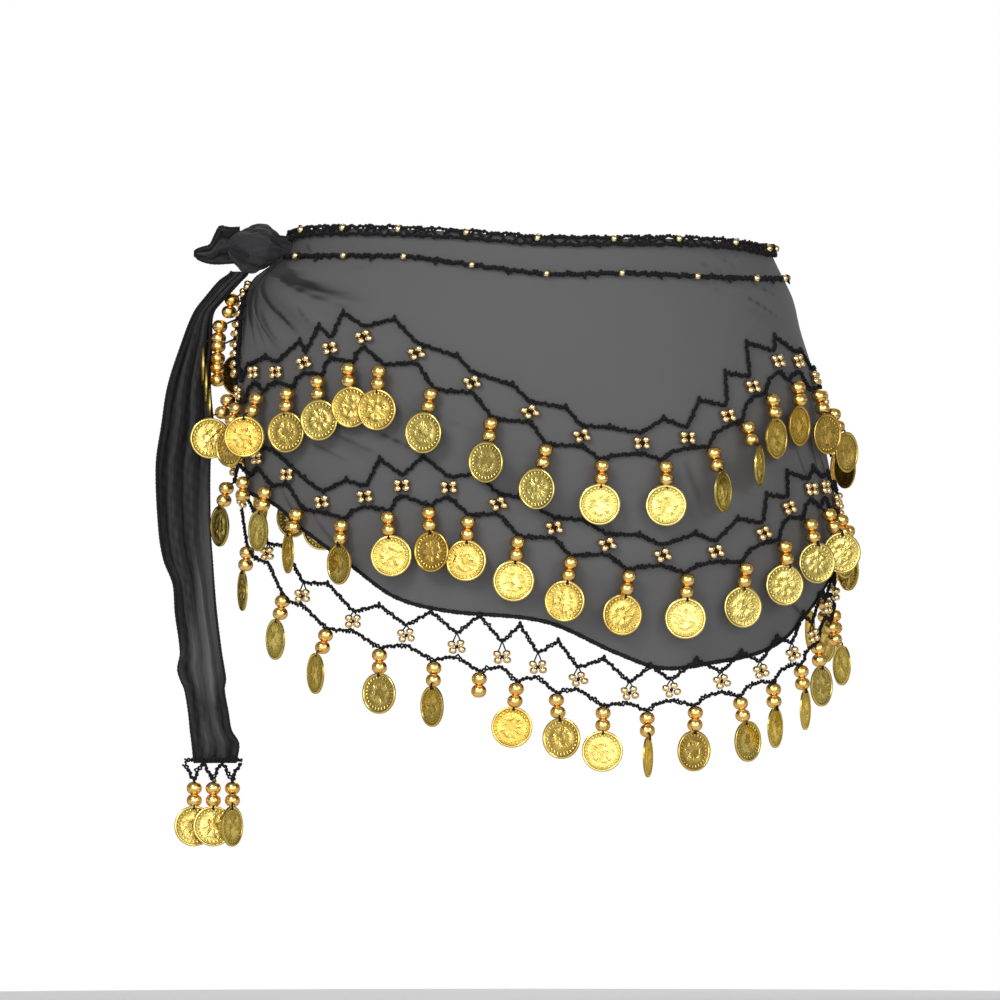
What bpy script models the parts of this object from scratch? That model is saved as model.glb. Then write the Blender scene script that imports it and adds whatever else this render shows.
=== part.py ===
"""Belly dance hip scarf, worn: a sheer black wrap tied at the side, with three rows of coin trim.

The frame is centred in the waist ring at the height of the top band. +Z is up, the front
that is seen faces -Y, and the knot is at the wearer's side at -X. An angle round the body
is measured in degrees from the front centre, positive towards +X. Sizes are in metres;
the tables below are in millimetres and degrees, as their column names say.
"""
import math
from collections import namedtuple

import bpy
from mathutils import Vector

MM = 0.001

# Driving dimensions of the wrap
CLOTH_WALL = 1.2 * MM
SEAM_GAP = 0.3 * MM
SIDE_SEAM_ANGLE = 90.0
FRONT_COLUMNS, FRONT_ROWS = 46, 15
BACK_COLUMNS, BACK_ROWS = 30, 12
ROW_CROWDING = 1.35

# Driving dimensions of the two beaded chains along the waist
CHAIN_HEIGHT = 4.6 * MM
CHAIN_THICK = 2.4 * MM
CHAIN_LIFT = 0.9 * MM
CHAIN_STEPS = 54
UPPER_CHAIN_ENDS = (-77.0, 258.0)
LOWER_CHAIN_ENDS = (-74.0, 257.0)

# Driving dimensions of the crocheted coin trim
TRIM_LIFT = 0.9 * MM
CORD_THICK = 1.5 * MM
CORD_HALF = 1.1 * MM
FLOWER_HALF_WIDE = 4.3 * MM
FLOWER_HALF_TALL = 3.8 * MM
FLOWER_THICK = 3.4 * MM
VALLEY_DROP = 9.5 * MM
HEM_TIE_RISE = 1.0 * MM
ROOT_HALF = 0.9 * MM

# Driving dimensions of one hanging drop: two large beads and a coin
BEAD_HALF = 3.9 * MM
BEAD_DEPTHS = (4.0 * MM, 10.7 * MM)
PINCH_HALF = 1.3 * MM
COIN_RADIUS = 11.2 * MM
COIN_THICK = 1.0 * MM
COIN_SIDES = 8
COIN_TOP_DEPTH = 13.6 * MM
DROP_LIFT = 6.4 * MM
COIN_LIFT = 6.2 * MM
BEAD_EXTRA_LIFT = 4.2
BEAD_TURNS = (0.2, 0.5)
BEAD_SWAYS = (0.05, 0.35)
TURNED_COIN_PULL = 0.3
SWAY_LENGTH = 24.0 * MM
BARE_END_DEPTH = 14.4 * MM

# Driving dimensions of the knot and of the two tie ends
KNOT_CENTRE = Vector((-153.4, -20.0, -4.6)) * MM
KNOT_HALF = Vector((15.0, 14.0, 12.0)) * MM
KNOT_RINGS, KNOT_SIDES = 10, 20
KNOT_TURNS, KNOT_SWIRL, KNOT_SWELL = 3, 2.2, 0.09
TIE_WALL = 1.3 * MM
TAIL_PLEATS = 3
TAIL_STEPS = 16
EAR_PLEATS = 2

Section = namedtuple("Section", "height left right depth")
SECTIONS = (
    Section(8, 137, 129, 97),
    Section(0, 137, 129, 98),
    Section(-7, 139, 130, 99),
    Section(-14, 145, 133, 101),
    Section(-22, 155, 137, 102),
    Section(-33, 160, 142, 104),
    Section(-50, 163, 146, 107),
    Section(-66, 164, 151, 110),
    Section(-88, 164, 157, 113),
    Section(-115, 163, 160, 116),
    Section(-143, 164, 165, 118),
    Section(-176, 163, 165, 118),
    Section(-193, 160, 160, 116),
    Section(-240, 156, 156, 113),
)

Edge = namedtuple("Edge", "angle height")
TOP_EDGE = (
    Edge(-88, 0.5), Edge(-66, 5.0), Edge(-40, 5.3), Edge(-16, 2.8), Edge(2, -0.5), Edge(37, -0.5),
    Edge(56, -2.0), Edge(75, -5.0), Edge(95, -4.5), Edge(130, -1.5), Edge(180, 2.0),
    Edge(230, 4.5), Edge(258, 3.5),
)
SECOND_CHAIN = (
    Edge(-76, -9.5), Edge(-58, -9.4), Edge(-43, -9.6), Edge(-28, -10.5), Edge(-12, -15.4),
    Edge(3, -19.8), Edge(21, -19.3), Edge(41, -20.9), Edge(61, -21.7), Edge(90, -21.0),
    Edge(130, -18.5), Edge(180, -14.5), Edge(230, -10.5), Edge(258, -9.5),
)
HEM = (
    Edge(-92, -138), Edge(-80, -141), Edge(-72, -146), Edge(-64, -158), Edge(-52, -176),
    Edge(-41, -195), Edge(-29, -203), Edge(-7, -209), Edge(9, -226), Edge(20, -234.5),
    Edge(35, -231), Edge(48, -226), Edge(58, -218), Edge(66, -207), Edge(85, -187),
    Edge(100, -179), Edge(120, -166), Edge(142, -155), Edge(172, -143), Edge(204, -125),
    Edge(228, -110), Edge(246, -98), Edge(262, -92),
)
TRIM_UPPER = (
    Edge(-68, -73), Edge(-58.5, -73), Edge(-49.5, -68), Edge(-42.5, -60), Edge(-34.5, -54),
    Edge(-23, -63), Edge(-12, -79), Edge(-1, -95), Edge(9, -108), Edge(21, -112), Edge(31, -109),
    Edge(41, -97), Edge(49, -81), Edge(60, -67), Edge(70, -67), Edge(80, -76), Edge(90, -86),
    Edge(105, -94), Edge(122, -86), Edge(138, -66), Edge(154, -54), Edge(170, -61),
    Edge(187, -68), Edge(206, -62), Edge(226, -49), Edge(244, -42), Edge(258, -36),
)
TRIM_MIDDLE = (
    Edge(-90, -126), Edge(-80, -118), Edge(-67, -120), Edge(-55, -129), Edge(-44.5, -144),
    Edge(-34, -141), Edge(-26, -135), Edge(-16.5, -136), Edge(-7, -145), Edge(3.5, -158),
    Edge(13.5, -167), Edge(24.5, -173), Edge(36, -171), Edge(48, -161), Edge(56, -147),
    Edge(65, -137), Edge(73, -136), Edge(90, -148), Edge(104, -143), Edge(122, -129),
    Edge(142, -113), Edge(160, -106), Edge(182, -110), Edge(204, -103), Edge(226, -90),
    Edge(244, -81), Edge(260, -74),
)
TRIM_LOWER = (
    Edge(-62, -172.2), Edge(-50.5, -195.3), Edge(-38, -209), Edge(-26, -216.7),
    Edge(-15.5, -222.8), Edge(-6.5, -228.3), Edge(0.5, -233.8), Edge(8.5, -240.4),
    Edge(19, -248), Edge(28, -246.4), Edge(40, -242), Edge(51, -236.5), Edge(62, -227.2),
    Edge(71, -217.3), Edge(80, -201.9), Edge(91, -194.7), Edge(100, -190.5), Edge(120, -177.5),
    Edge(142, -166.5), Edge(172, -154.5), Edge(204, -136.5), Edge(228, -121.5),
    Edge(246, -109.5), Edge(262, -103.5),
)

SlitEdge = namedtuple("SlitEdge", "height front_angle back_angle")
SIDE_SLIT = (
    SlitEdge(10, -86, -86.2), SlitEdge(-30, -85, -87.5), SlitEdge(-100, -82, -96),
    SlitEdge(-150, -72, -104), SlitEdge(-240, -70, -105),
)

Fold = namedtuple("Fold", "angle height to_angle to_height half_width rise")
FOLD_MM_PER_DEGREE = 2.7
FOLDS = (
    Fold(-68, -18, -30, -34, 7, 2.6),
    Fold(-74, -24, -42, -52, 7, 2.8),
    Fold(-76, -30, -56, -60, 6, 2.4),
    Fold(-79, -22, -73, -50, 5, 2.2),
    Fold(-76, -92, -72, -106, 6, 1.8),
    Fold(-52, -92, -30, -120, 8, 2.2),
    Fold(-34, -80, -12, -118, 8, 1.8),
    Fold(8, -180, 26, -210, 9, 2.0),
    Fold(46, -34, 68, -48, 7, 1.8),
    Fold(52, -180, 66, -196, 7, 2.2),
    Fold(63, -84, 68, -118, 6, 2.0),
    Fold(79, -92, 82, -126, 6, 2.2),
    Fold(74, -160, 76, -192, 6, 2.2),
    Fold(104, -104, 102, -132, 6, 2.2),
    Fold(126, -30, 146, -48, 8, 2.2),
    Fold(132, -84, 152, -98, 8, 2.2),
    Fold(170, -72, 190, -92, 8, 2.0),
    Fold(160, -124, 184, -136, 8, 2.0),
    Fold(196, -44, 222, -32, 8, 2.4),
    Fold(230, -34, 254, -22, 6, 2.6),
    Fold(214, -78, 236, -62, 7, 2.2),
)

Flower = namedtuple("Flower", "angle height lean")
COLUMN_UPPER = (
    Flower(-82.5, -27, 130), Flower(-82.5, -38, 90), Flower(-82.5, -49, 90), Flower(-82.5, -60, 90),
    Flower(-82.5, -71, 80), Flower(-78, -84, 20),
)
COLUMN_LOWER = (Flower(-75, -143, 30),)

Link = namedtuple("Link", "peak rise drop sway turn lift")
LINKS_UPPER = (
    Link(0.5, 7, 0.5, 0, None, 0.4), Link(0.5, 7, 0.5, 0, 0, 12.6), Link(0.5, 7, 0.5, 0, 0, 10.9),
    Link(0.5, 7, 0.5, 0, 0, 9.2), Link(0.5, 8, 1.0, 1.5, -85, 0),
    Link(0.5, 9, 0.5, -4, -20, 0), Link(0.5, 8, 0.45, -2, -45, 0), Link(0.8, 14, 0.6, 0.8, -15, 0),
    Link(0.52, 15.7, 0.7, 2.5, -9, 0), Link(0.3, 16, 0.7, 1.8, -6, 1.2),
    Link(0.56, 13.9, 0.4, -1.5, 0, 2.5), Link(0.73, 6.2, 0.3, -3.5, 14, 0),
    Link(0.7, 6.5, 0.34, -2.3, 27, 0), Link(0.7, 8.6, 0.3, -5, 30, 0),
    Link(0.47, 6.5, 0.3, -2.2, 5, 0), Link(0.5, 11.6, 0.42, -2, 12, 0),
    Link(0.34, 14.3, 0.5, -0.5, -38, 0), Link(0.15, 15.2, 0.5, 0, -41, 0),
    Link(0.15, 16.5, 0.35, -2, -15, 0), Link(0.22, 13.2, 0.3, -4, -4, 0),
    Link(0.5, 10, 0.3, -3, 20, 0), Link(0.5, 10, 0.5, 0, 28, 0),
    Link(0.5, 10, 0.5, 0, -20, 0), Link(0.45, 12, 0.4, -1.5, 15, 0), Link(0.6, 11, 0.5, 1, 30, 0),
    Link(0.5, 13, 0.55, 1, -10, 0), Link(0.4, 10, 0.5, -1, 0, 0), Link(0.55, 12, 0.45, 0, -40, 0),
    Link(0.5, 9, 0.5, 1.5, 20, 0), Link(0.5, 12, 0.6, 1, 10, 0), Link(0.45, 11, 0.4, -1, -15, 0),
    Link(0.5, 10, 0.5, 0, 35, 0), Link(0.55, 13, 0.5, -1, 5, 0), Link(0.5, 12, 0.45, 0, -25, 0),
    Link(0.4, 10, 0.5, 1, 15, 0), Link(0.5, 11, 0.5, 0, 0, 0), Link(0.5, 10, 0.5, 0, 20, 0),
)
LINKS_MIDDLE = (
    Link(0.5, 9, 0.5, 0, -20, 0), Link(0.5, 9, 0.75, 0, None, 0),
    Link(0.5, 9, 0.55, -4, 10, 0), Link(0.5, 5, 0.45, -1.5, 33, 0),
    Link(0.55, 10.2, 0.55, 0.5, 25, 0), Link(0.37, 17, 0.7, 2.5, -15, 0),
    Link(0.44, 16, 0.62, 2, 18, 0), Link(0.56, 11.6, 0.42, -1.5, 0, 0),
    Link(0.37, 9.8, 0.36, -2.5, -5, 0), Link(0.55, 8.6, 0.3, -3, 18, 0),
    Link(0.58, 7.9, 0.38, -2.5, -5, 0), Link(0.62, 10.6, 0.46, -0.8, 20, 0),
    Link(0.46, 12.6, 0.56, 1, 10, 0), Link(0.2, 13.6, 0.6, 1.5, 20, 0),
    Link(0.15, 13.9, 0.6, 1, 25, 0), Link(0.5, 11, 0.6, 1.5, 40, 0), Link(0.5, 11, 0.5, 0, 15, 0),
    Link(0.5, 11, 0.5, 0, -10, 0),
    Link(0.5, 12, 0.5, 0, -20, 0), Link(0.4, 10, 0.45, -1, 15, 0), Link(0.55, 13, 0.5, 1, 5, 0),
    Link(0.5, 9, 0.55, 0, -30, 0), Link(0.5, 12, 0.5, -1, 20, 0), Link(0.45, 14, 0.4, -1.5, 0, 0),
    Link(0.5, 11, 0.5, 0, 40, 0), Link(0.6, 10, 0.6, 1.5, -5, 0), Link(0.5, 12, 0.5, 0, 15, 0),
    Link(0.5, 13, 0.45, -1, -15, 0), Link(0.4, 11, 0.5, 0, 10, 0), Link(0.5, 10, 0.5, 1, 25, 0),
    Link(0.55, 12, 0.5, 0, -10, 0), Link(0.5, 11, 0.4, -1, 5, 0), Link(0.5, 12, 0.5, 0, 30, 0),
    Link(0.5, 10, 0.5, 0, 0, 0),
)
LINKS_LOWER = (
    Link(0.5, None, 0.3, -2, 10, 0),
    Link(0.5, None, 0.45, -2.5, 15, 0), Link(0.5, None, 0.45, -2.5, 30, 0),
    Link(0.5, None, 0.5, 0.8, 12, 0), Link(0.5, None, 0.55, 1, 42, 0),
    Link(0.5, None, 0.5, -1, None, 0), Link(0.5, None, 0.4, -2.5, 0, 0),
    Link(0.5, None, 0.45, 2.5, 28, 0), Link(0.5, None, 0.48, -0.8, 10, 0),
    Link(0.5, None, 0.42, -2.5, -60, 0), Link(0.5, None, 0.47, -2, -12, 0),
    Link(0.5, None, 0.47, 3, -14, 0), Link(0.5, None, 0.4, -3, -22, 0),
    Link(0.5, None, 0.42, -1, -17, 0), Link(0.5, None, 0.4, -1, 12, 0),
    Link(0.5, None, 0.5, 0, -30, 0), Link(0.5, None, 0.5, 0, 10, 0),
    Link(0.5, None, 0.45, 1, -5, 0), Link(0.5, None, 0.55, -1.5, 25, 0),
    Link(0.5, None, 0.5, 0, 5, 0), Link(0.5, None, 0.4, -1, 30, 0), Link(0.5, None, 0.5, 1, 0, 0),
    Link(0.5, None, 0.5, 0, -40, 0), Link(0.5, None, 0.45, 0, 15, 0),
    Link(0.5, None, 0.55, 1.5, 10, 0), Link(0.5, None, 0.5, -1, -10, 0),
    Link(0.5, None, 0.5, 0, 20, 0), Link(0.5, None, 0.45, 0, 0, 0),
    Link(0.5, None, 0.5, 1, 35, 0), Link(0.5, None, 0.5, 0, 5, 0), Link(0.5, None, 0.5, 0, -15, 0),
)

Trim = namedtuple("Trim", "name edge column front_angles back_flowers last links hangs")
TRIM_ROWS = (
    Trim("coin_trim_upper", TRIM_UPPER, COLUMN_UPPER,
         (-68, -58.5, -49.5, -42.5, -34.5, -23, -12, -1, 9, 21, 31, 41, 49, 60, 70, 80, 91),
         15, 257.0, LINKS_UPPER, False),
    Trim("coin_trim_middle", TRIM_MIDDLE, (),
         (-90, -80, -67, -55, -44.5, -34, -26, -16.5, -7, 3.5, 13.5, 24.5, 36, 48, 56, 65, 73,
          82, 91), 16, 257.0, LINKS_MIDDLE, False),
    Trim("coin_trim_lower", TRIM_LOWER, COLUMN_LOWER,
         (-62, -50.5, -38, -26, -15.5, -6.5, 0.5, 8.5, 19, 28, 40, 51, 62, 71, 80, 91),
         15, 250.0, LINKS_LOWER, True),
)

Level = namedtuple("Level", "height left right middle_y depth")
TAIL = (
    Level(-17.6, -166.5, -157.5, -18, 5.0),
    Level(-23, -173.0, -162.0, -13, 7.0),
    Level(-31, -180.0, -169.5, -7, 8.0),
    Level(-40, -187.0, -177.0, 0, 8.0),
    Level(-57, -194.0, -178.0, 11.5, 9.0),
    Level(-80, -201.5, -179.0, 14, 9.0),
    Level(-102, -205.0, -177.5, 13, 9.0),
    Level(-124, -208.0, -179.5, 13, 9.0),
    Level(-160, -206.5, -180.5, 13, 9.0),
    Level(-189, -198.6, -178.0, 13, 8.0),
    Level(-227, -194.5, -173.5, 12, 7.0),
    Level(-260, -190.5, -169.5, 11, 6.0),
    Level(-287, -187.5, -164.0, 11, 5.0),
)
EAR = (
    Level(-2.6, -12.0, 7.0, -21, 5.0),
    Level(-3.5, -11.0, 4.5, -22, 6.0),
    Level(-5.0, -8.5, 1.0, -23, 4.0),
)
EAR_REACH = (169.2, 177.0, 185.5)

TAIL_FLOWERS = (-18.75, -8.25, 2.25, 12.75)
TAIL_LINKS = (
    Link(0.5, 4.5, 0.5, 0, -15, 0), Link(0.5, 4.5, 0.5, 0, -10, 3), Link(0.5, 4.5, 0.5, 0, -60, 0),
)
TAIL_TRIM_CENTRE = Vector((-174.0, 8.1, -290.5)) * MM
TAIL_VALLEY_DROP = 6.0 * MM

Finish = namedtuple("Finish", "colour roughness metallic")
FINISHES = {
    "chiffon": Finish((0.085, 0.085, 0.090), 0.75, 0.0),
    "dark_cord": Finish((0.012, 0.012, 0.016), 0.60, 0.0),
    "gold": Finish((0.72, 0.50, 0.20), 0.35, 1.0),
}


def clear_scene():
    """Removes whatever the scene holds."""
    for item in list(bpy.data.objects):
        bpy.data.objects.remove(item, do_unlink=True)


def read_table(rows, key, value, where):
    """Smooth cubic through a table's points, flat beyond its ends."""
    keys = [getattr(row, key) for row in rows]
    values = [getattr(row, value) for row in rows]
    if keys[0] > keys[-1]:
        keys.reverse()
        values.reverse()
    if where <= keys[0]:
        return values[0]
    if where >= keys[-1]:
        return values[-1]
    i = max(j for j in range(len(keys) - 1) if keys[j] <= where)

    def slope(j):
        if j == 0 or j == len(keys) - 1:
            return 0.0
        return (values[j + 1] - values[j - 1]) / (keys[j + 1] - keys[j - 1])

    span = keys[i + 1] - keys[i]
    t = (where - keys[i]) / span
    return ((2 * t**3 - 3 * t**2 + 1) * values[i] + (t**3 - 2 * t**2 + t) * span * slope(i)
            + (3 * t**2 - 2 * t**3) * values[i + 1] + (t**3 - t**2) * span * slope(i + 1))


def edge_height(edge, angle):
    """Height of a named edge at an angle, in metres."""
    return read_table(edge, "angle", "height", angle) * MM


def fold_rise(angle, height):
    """How far the cloth's creases lift it at a point, in metres."""
    rise = 0.0
    for fold in FOLDS:
        along = Vector(((fold.to_angle - fold.angle) * FOLD_MM_PER_DEGREE,
                        fold.to_height - fold.height))
        point = Vector(((angle - fold.angle) * FOLD_MM_PER_DEGREE, height / MM - fold.height))
        t = point.dot(along) / along.length_squared
        if not 0.0 < t < 1.0:
            continue
        away = abs(along.x * point.y - along.y * point.x) / along.length / fold.half_width
        if away < 1.0:
            rise += fold.rise * math.sin(math.pi * t) * math.cos(math.pi * away / 2) ** 2
    return rise * MM


def half_sizes(angle, height):
    """Half breadth on this angle's side and half depth of the hip form, in metres."""
    side = "left" if math.sin(math.radians(angle)) < 0 else "right"
    breadth = read_table(SECTIONS, "height", side, height / MM)
    return breadth * MM, read_table(SECTIONS, "height", "depth", height / MM) * MM


def outward(angle, height):
    """Level direction straight out of the hip form."""
    breadth, depth = half_sizes(angle, height)
    turn = math.radians(angle)
    return Vector((depth * math.sin(turn), -breadth * math.cos(turn), 0.0)).normalized()


def skin(angle, height, lift, hang_from=None):
    """Point over the cloth's outer face; below hang_from it drops straight down."""
    level = height if hang_from is None else max(height, hang_from)
    breadth, depth = half_sizes(angle, level)
    turn = math.radians(angle)
    point = Vector((breadth * math.sin(turn), -depth * math.cos(turn), height))
    return point + outward(angle, level) * (lift + fold_rise(angle, level))


def metres_per_degree(angle, height):
    """Length along the skin of one degree at a point."""
    step = 0.5
    return (skin(angle + step, height, 0.0) - skin(angle - step, height, 0.0)).length / (2 * step)


def finish_material(name):
    """The shared Principled material of one finish."""
    material = bpy.data.materials.get(name)
    if material is None:
        material = bpy.data.materials.new(name)
        material.use_nodes = True
        shader = material.node_tree.nodes["Principled BSDF"]
        finish = FINISHES[name]
        shader.inputs["Base Color"].default_value = (*finish.colour, 1.0)
        shader.inputs["Roughness"].default_value = finish.roughness
        shader.inputs["Metallic"].default_value = finish.metallic
    return material


def add_object(name, points, faces, finish):
    """One named object from its points and faces, with its material."""
    mesh = bpy.data.meshes.new(name)
    mesh.from_pydata([tuple(point) for point in points], [], faces)
    mesh.validate()
    mesh.shade_smooth()
    mesh.set_sharp_from_angle(angle=math.radians(40))
    mesh.materials.append(finish_material(finish))
    item = bpy.data.objects.new(name, mesh)
    bpy.context.scene.collection.objects.link(item)
    return item


def add_walled_grid(name, outer, inner, finish):
    """A cloth wall between two grids of points, closed along its four edges."""
    rows, columns = len(outer), len(outer[0])
    points = [point for grid in (outer, inner) for row in grid for point in row]
    half = rows * columns

    def at(row, column, side):
        return side * half + row * columns + column

    faces = []
    for row in range(rows - 1):
        for column in range(columns - 1):
            corners = ((row, column), (row + 1, column), (row + 1, column + 1), (row, column + 1))
            faces.append([at(*corner, 0) for corner in corners])
            faces.append([at(*corner, 1) for corner in reversed(corners)])
    rim = [(0, c) for c in range(columns)] + [(r, columns - 1) for r in range(1, rows)]
    rim += [(rows - 1, c) for c in range(columns - 2, -1, -1)]
    rim += [(r, 0) for r in range(rows - 2, 0, -1)]
    for here, after in zip(rim, rim[1:] + rim[:1]):
        faces.append([at(*here, 0), at(*after, 0), at(*after, 1), at(*here, 1)])
    return add_object(name, points, faces, finish)


def wrap_stretch(name, columns, rows, start_angle, end_angle):
    """One stretch of the wrap between two edges, whose angles depend on the height."""
    grids = {0.0: [], -CLOTH_WALL: []}
    for row in range(rows + 1):
        down = (row / rows) ** ROW_CROWDING
        for lift, grid in grids.items():
            line = []
            for column in range(columns + 1):
                guess = start_angle(0.0) + (end_angle(0.0) - start_angle(0.0)) * column / columns
                height = (edge_height(TOP_EDGE, guess) * (1 - down) + edge_height(HEM, guess) * down)
                start, end = start_angle(height), end_angle(height)
                line.append(skin(start + (end - start) * column / columns, height, lift))
            grid.append(line)
    return add_walled_grid(name, grids[0.0], grids[-CLOTH_WALL], "chiffon")


def seam_angle(side):
    """Angle of a panel's edge at the side seam, half a seam gap away from it."""
    half_gap = math.degrees(SEAM_GAP / 2 / (half_sizes(SIDE_SEAM_ANGLE, 0.0)[1]))
    return SIDE_SEAM_ANGLE + side * half_gap


def slit_angle(column):
    """Angle of a panel's open edge under the knot, as a function of the height."""
    return lambda height: read_table(SIDE_SLIT, "height", column, height / MM)


def add_wrap():
    """The wrap's two stretches: the front, and the back that is hidden behind it."""
    wrap_stretch("wrap_front", FRONT_COLUMNS, FRONT_ROWS,
                 slit_angle("front_angle"), lambda height: seam_angle(-1))
    back_end = slit_angle("back_angle")
    wrap_stretch("wrap_back", BACK_COLUMNS, BACK_ROWS,
                 lambda height: seam_angle(+1), lambda height: 360.0 + back_end(height))


def add_chain(name, edge, ends):
    """A flat beaded chain carried along an edge of the wrap, over its outer face."""
    points, faces = [], []
    corners = ((0, 0.5), (1, 0.5), (1, -0.5), (0, -0.5))
    for step in range(CHAIN_STEPS + 1):
        angle = ends[0] + (ends[1] - ends[0]) * step / CHAIN_STEPS
        height = edge_height(edge, angle)
        for out, up in corners:
            points.append(skin(angle, height + up * CHAIN_HEIGHT, CHAIN_LIFT + out * CHAIN_THICK))
    for step in range(CHAIN_STEPS):
        for corner in range(4):
            a, b = 4 * step + corner, 4 * step + (corner + 1) % 4
            faces.append([a, b, b + 4, a + 4])
    faces.append([3, 2, 1, 0])
    faces.append([4 * CHAIN_STEPS + corner for corner in range(4)])
    return add_object(name, points, faces, "dark_cord")


class CoinTrim:
    """Crocheted trim as one body: two zigzag cords joined at flowers, with hanging drops.

    A place on it is two numbers, along and height. place(along, height, lift) turns it into a
    point; along_per_metre says how much along changes for a metre sideways there. The lean
    turns a piece of trim clockwise, so that it can run down an edge.
    """

    def __init__(self, place, along_per_metre, lifts, valley_drop=VALLEY_DROP):
        self.place = place
        self.along_per_metre = along_per_metre
        self.drop_lift, self.coin_lift = lifts
        self.valley_drop = valley_drop
        self.points = []
        self.faces = []

    def moved(self, at, sideways, up, lean=0.0):
        """The place that lies sideways and up from another, both turned by the lean."""
        turn = math.radians(lean)
        across = sideways * math.cos(turn) + up * math.sin(turn)
        rise = up * math.cos(turn) - sideways * math.sin(turn)
        return at[0] + across * self.along_per_metre(*at), at[1] + rise

    def corner(self, at, sideways, up, lean, lift):
        """Adds one point near a place on the trim and gives its number."""
        self.points.append(self.place(*self.moved(at, sideways, up, lean), lift))
        return len(self.points) - 1

    def pair(self, at, sideways, up, lean):
        """The front and the back point of a cord's corner."""
        return (self.corner(at, sideways, up, lean, TRIM_LIFT + CORD_THICK),
                self.corner(at, sideways, up, lean, TRIM_LIFT))

    def panel(self, *pairs):
        """Front and back face of one piece of cord, its corners given anticlockwise."""
        self.faces.append([pair[0] for pair in pairs])
        self.faces.append([pair[1] for pair in reversed(pairs)])

    def rim(self, *pairs):
        """Edge faces of the cord along a row of corners, the cord on the left."""
        for here, after in zip(pairs, pairs[1:]):
            self.faces.append([here[0], here[1], after[1], after[0]])

    def flower(self, at, lean):
        """A four-bead flower as a raised diamond: its left, top, right and bottom corners."""
        left = self.pair(at, -FLOWER_HALF_WIDE, 0.0, lean)
        top = self.pair(at, 0.0, FLOWER_HALF_TALL, lean)
        right = self.pair(at, FLOWER_HALF_WIDE, 0.0, lean)
        bottom = self.pair(at, 0.0, -FLOWER_HALF_TALL, lean)
        middle = self.corner(at, 0.0, 0.0, lean, TRIM_LIFT + FLOWER_THICK)
        ring = (left, bottom, right, top)
        for here, after in zip(ring, ring[1:] + ring[:1]):
            self.faces.append([here[0], after[0], middle])
        self.faces.append([left[1], top[1], right[1], bottom[1]])
        return {"left": left, "top": top, "right": right, "bottom": bottom}

    def link(self, before, after, peak, low, lean, link):
        """The two cords between neighbouring flowers, and the drop under the lower one."""
        peak_top = self.pair(peak, 0.0, CORD_HALF, lean)
        peak_low = self.pair(peak, 0.0, -CORD_HALF, lean)
        valley_top = self.pair(low, 0.0, -self.valley_drop + CORD_HALF, lean)
        root_left = self.pair(low, -ROOT_HALF, -self.valley_drop - CORD_HALF, lean)
        root_right = self.pair(low, ROOT_HALF, -self.valley_drop - CORD_HALF, lean)
        self.panel(before["top"], before["right"], peak_low, peak_top)
        self.panel(peak_top, peak_low, after["left"], after["top"])
        self.panel(before["right"], before["bottom"], root_left, valley_top)
        self.panel(valley_top, root_left, root_right)
        self.panel(valley_top, root_right, after["bottom"], after["left"])
        self.rim(after["top"], peak_top, before["top"])
        self.rim(before["right"], peak_low, after["left"], valley_top, before["right"])
        self.rim(before["bottom"], root_left)
        self.rim(root_right, after["bottom"])
        foot = self.moved(low, 0.0, -self.valley_drop - CORD_HALF, lean)
        self.drop(foot, (root_left[0], root_left[1], root_right[1], root_right[0]), link)

    def frame_at(self, foot, depth, lift, sway, turn):
        """Centre and the turned sideways and outward directions at a depth under the foot."""
        centre = self.place(*self.moved(foot, sway, -depth), lift)
        out = (self.place(*foot, 0.01) - self.place(*foot, 0.0)).normalized()
        side = Vector((-out.y, out.x, 0.0))
        angle = math.radians(turn)
        turned_side = side * math.cos(angle) + out * math.sin(angle)
        turned_out = out * math.cos(angle) - side * math.sin(angle)
        return centre, turned_side, turned_out

    def ring(self, foot, depth, lift, sway, turn, half):
        """Four corners of the drop's strand, in the order of its root's corners."""
        centre, side, out = self.frame_at(foot, depth, lift, sway, turn)
        start = len(self.points)
        for sign, front in ((-1, 1), (-1, -1), (1, -1), (1, 1)):
            self.points.append(centre + side * half * sign + out * half * front)
        return tuple(range(start, start + 4))

    def drop(self, foot, root, link):
        """Two large beads on a four-sided strand that ends in a coin's top edge, or bare."""
        turn = link.turn or 0.0
        sway = link.sway * MM
        extra = min(link.lift, BEAD_EXTRA_LIFT) * MM
        turned_out = COIN_RADIUS * abs(math.sin(math.radians(turn)))
        lifts = (self.drop_lift + extra, self.drop_lift + extra + TURNED_COIN_PULL * turned_out)
        rings = [root]
        rings.append(self.ring(foot, BEAD_DEPTHS[0], lifts[0], BEAD_SWAYS[0] * sway, 0.0, BEAD_HALF))
        rings.append(self.ring(foot, sum(BEAD_DEPTHS) / 2, lifts[0], BEAD_SWAYS[1] * sway / 2,
                               BEAD_TURNS[0] * turn, PINCH_HALF))
        rings.append(self.ring(foot, BEAD_DEPTHS[1], lifts[1], BEAD_SWAYS[1] * sway,
                               BEAD_TURNS[1] * turn, BEAD_HALF))
        if link.turn is None:
            rings.append(self.ring(foot, BARE_END_DEPTH, lifts[1], BEAD_SWAYS[1] * sway, 0.0,
                                   PINCH_HALF))
            self.faces.append(list(rings[-1]))
        else:
            lift = self.coin_lift + link.lift * MM + turned_out
            coin_front, coin_back = self.coin(foot, lift, sway, turn)
            rings.append((coin_front[-1], coin_back[-1], coin_back[0], coin_front[0]))
        for upper, lower in zip(rings, rings[1:]):
            for i in range(4):
                j = (i + 1) % 4
                self.faces.append([upper[i], upper[j], lower[j], lower[i]])

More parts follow.
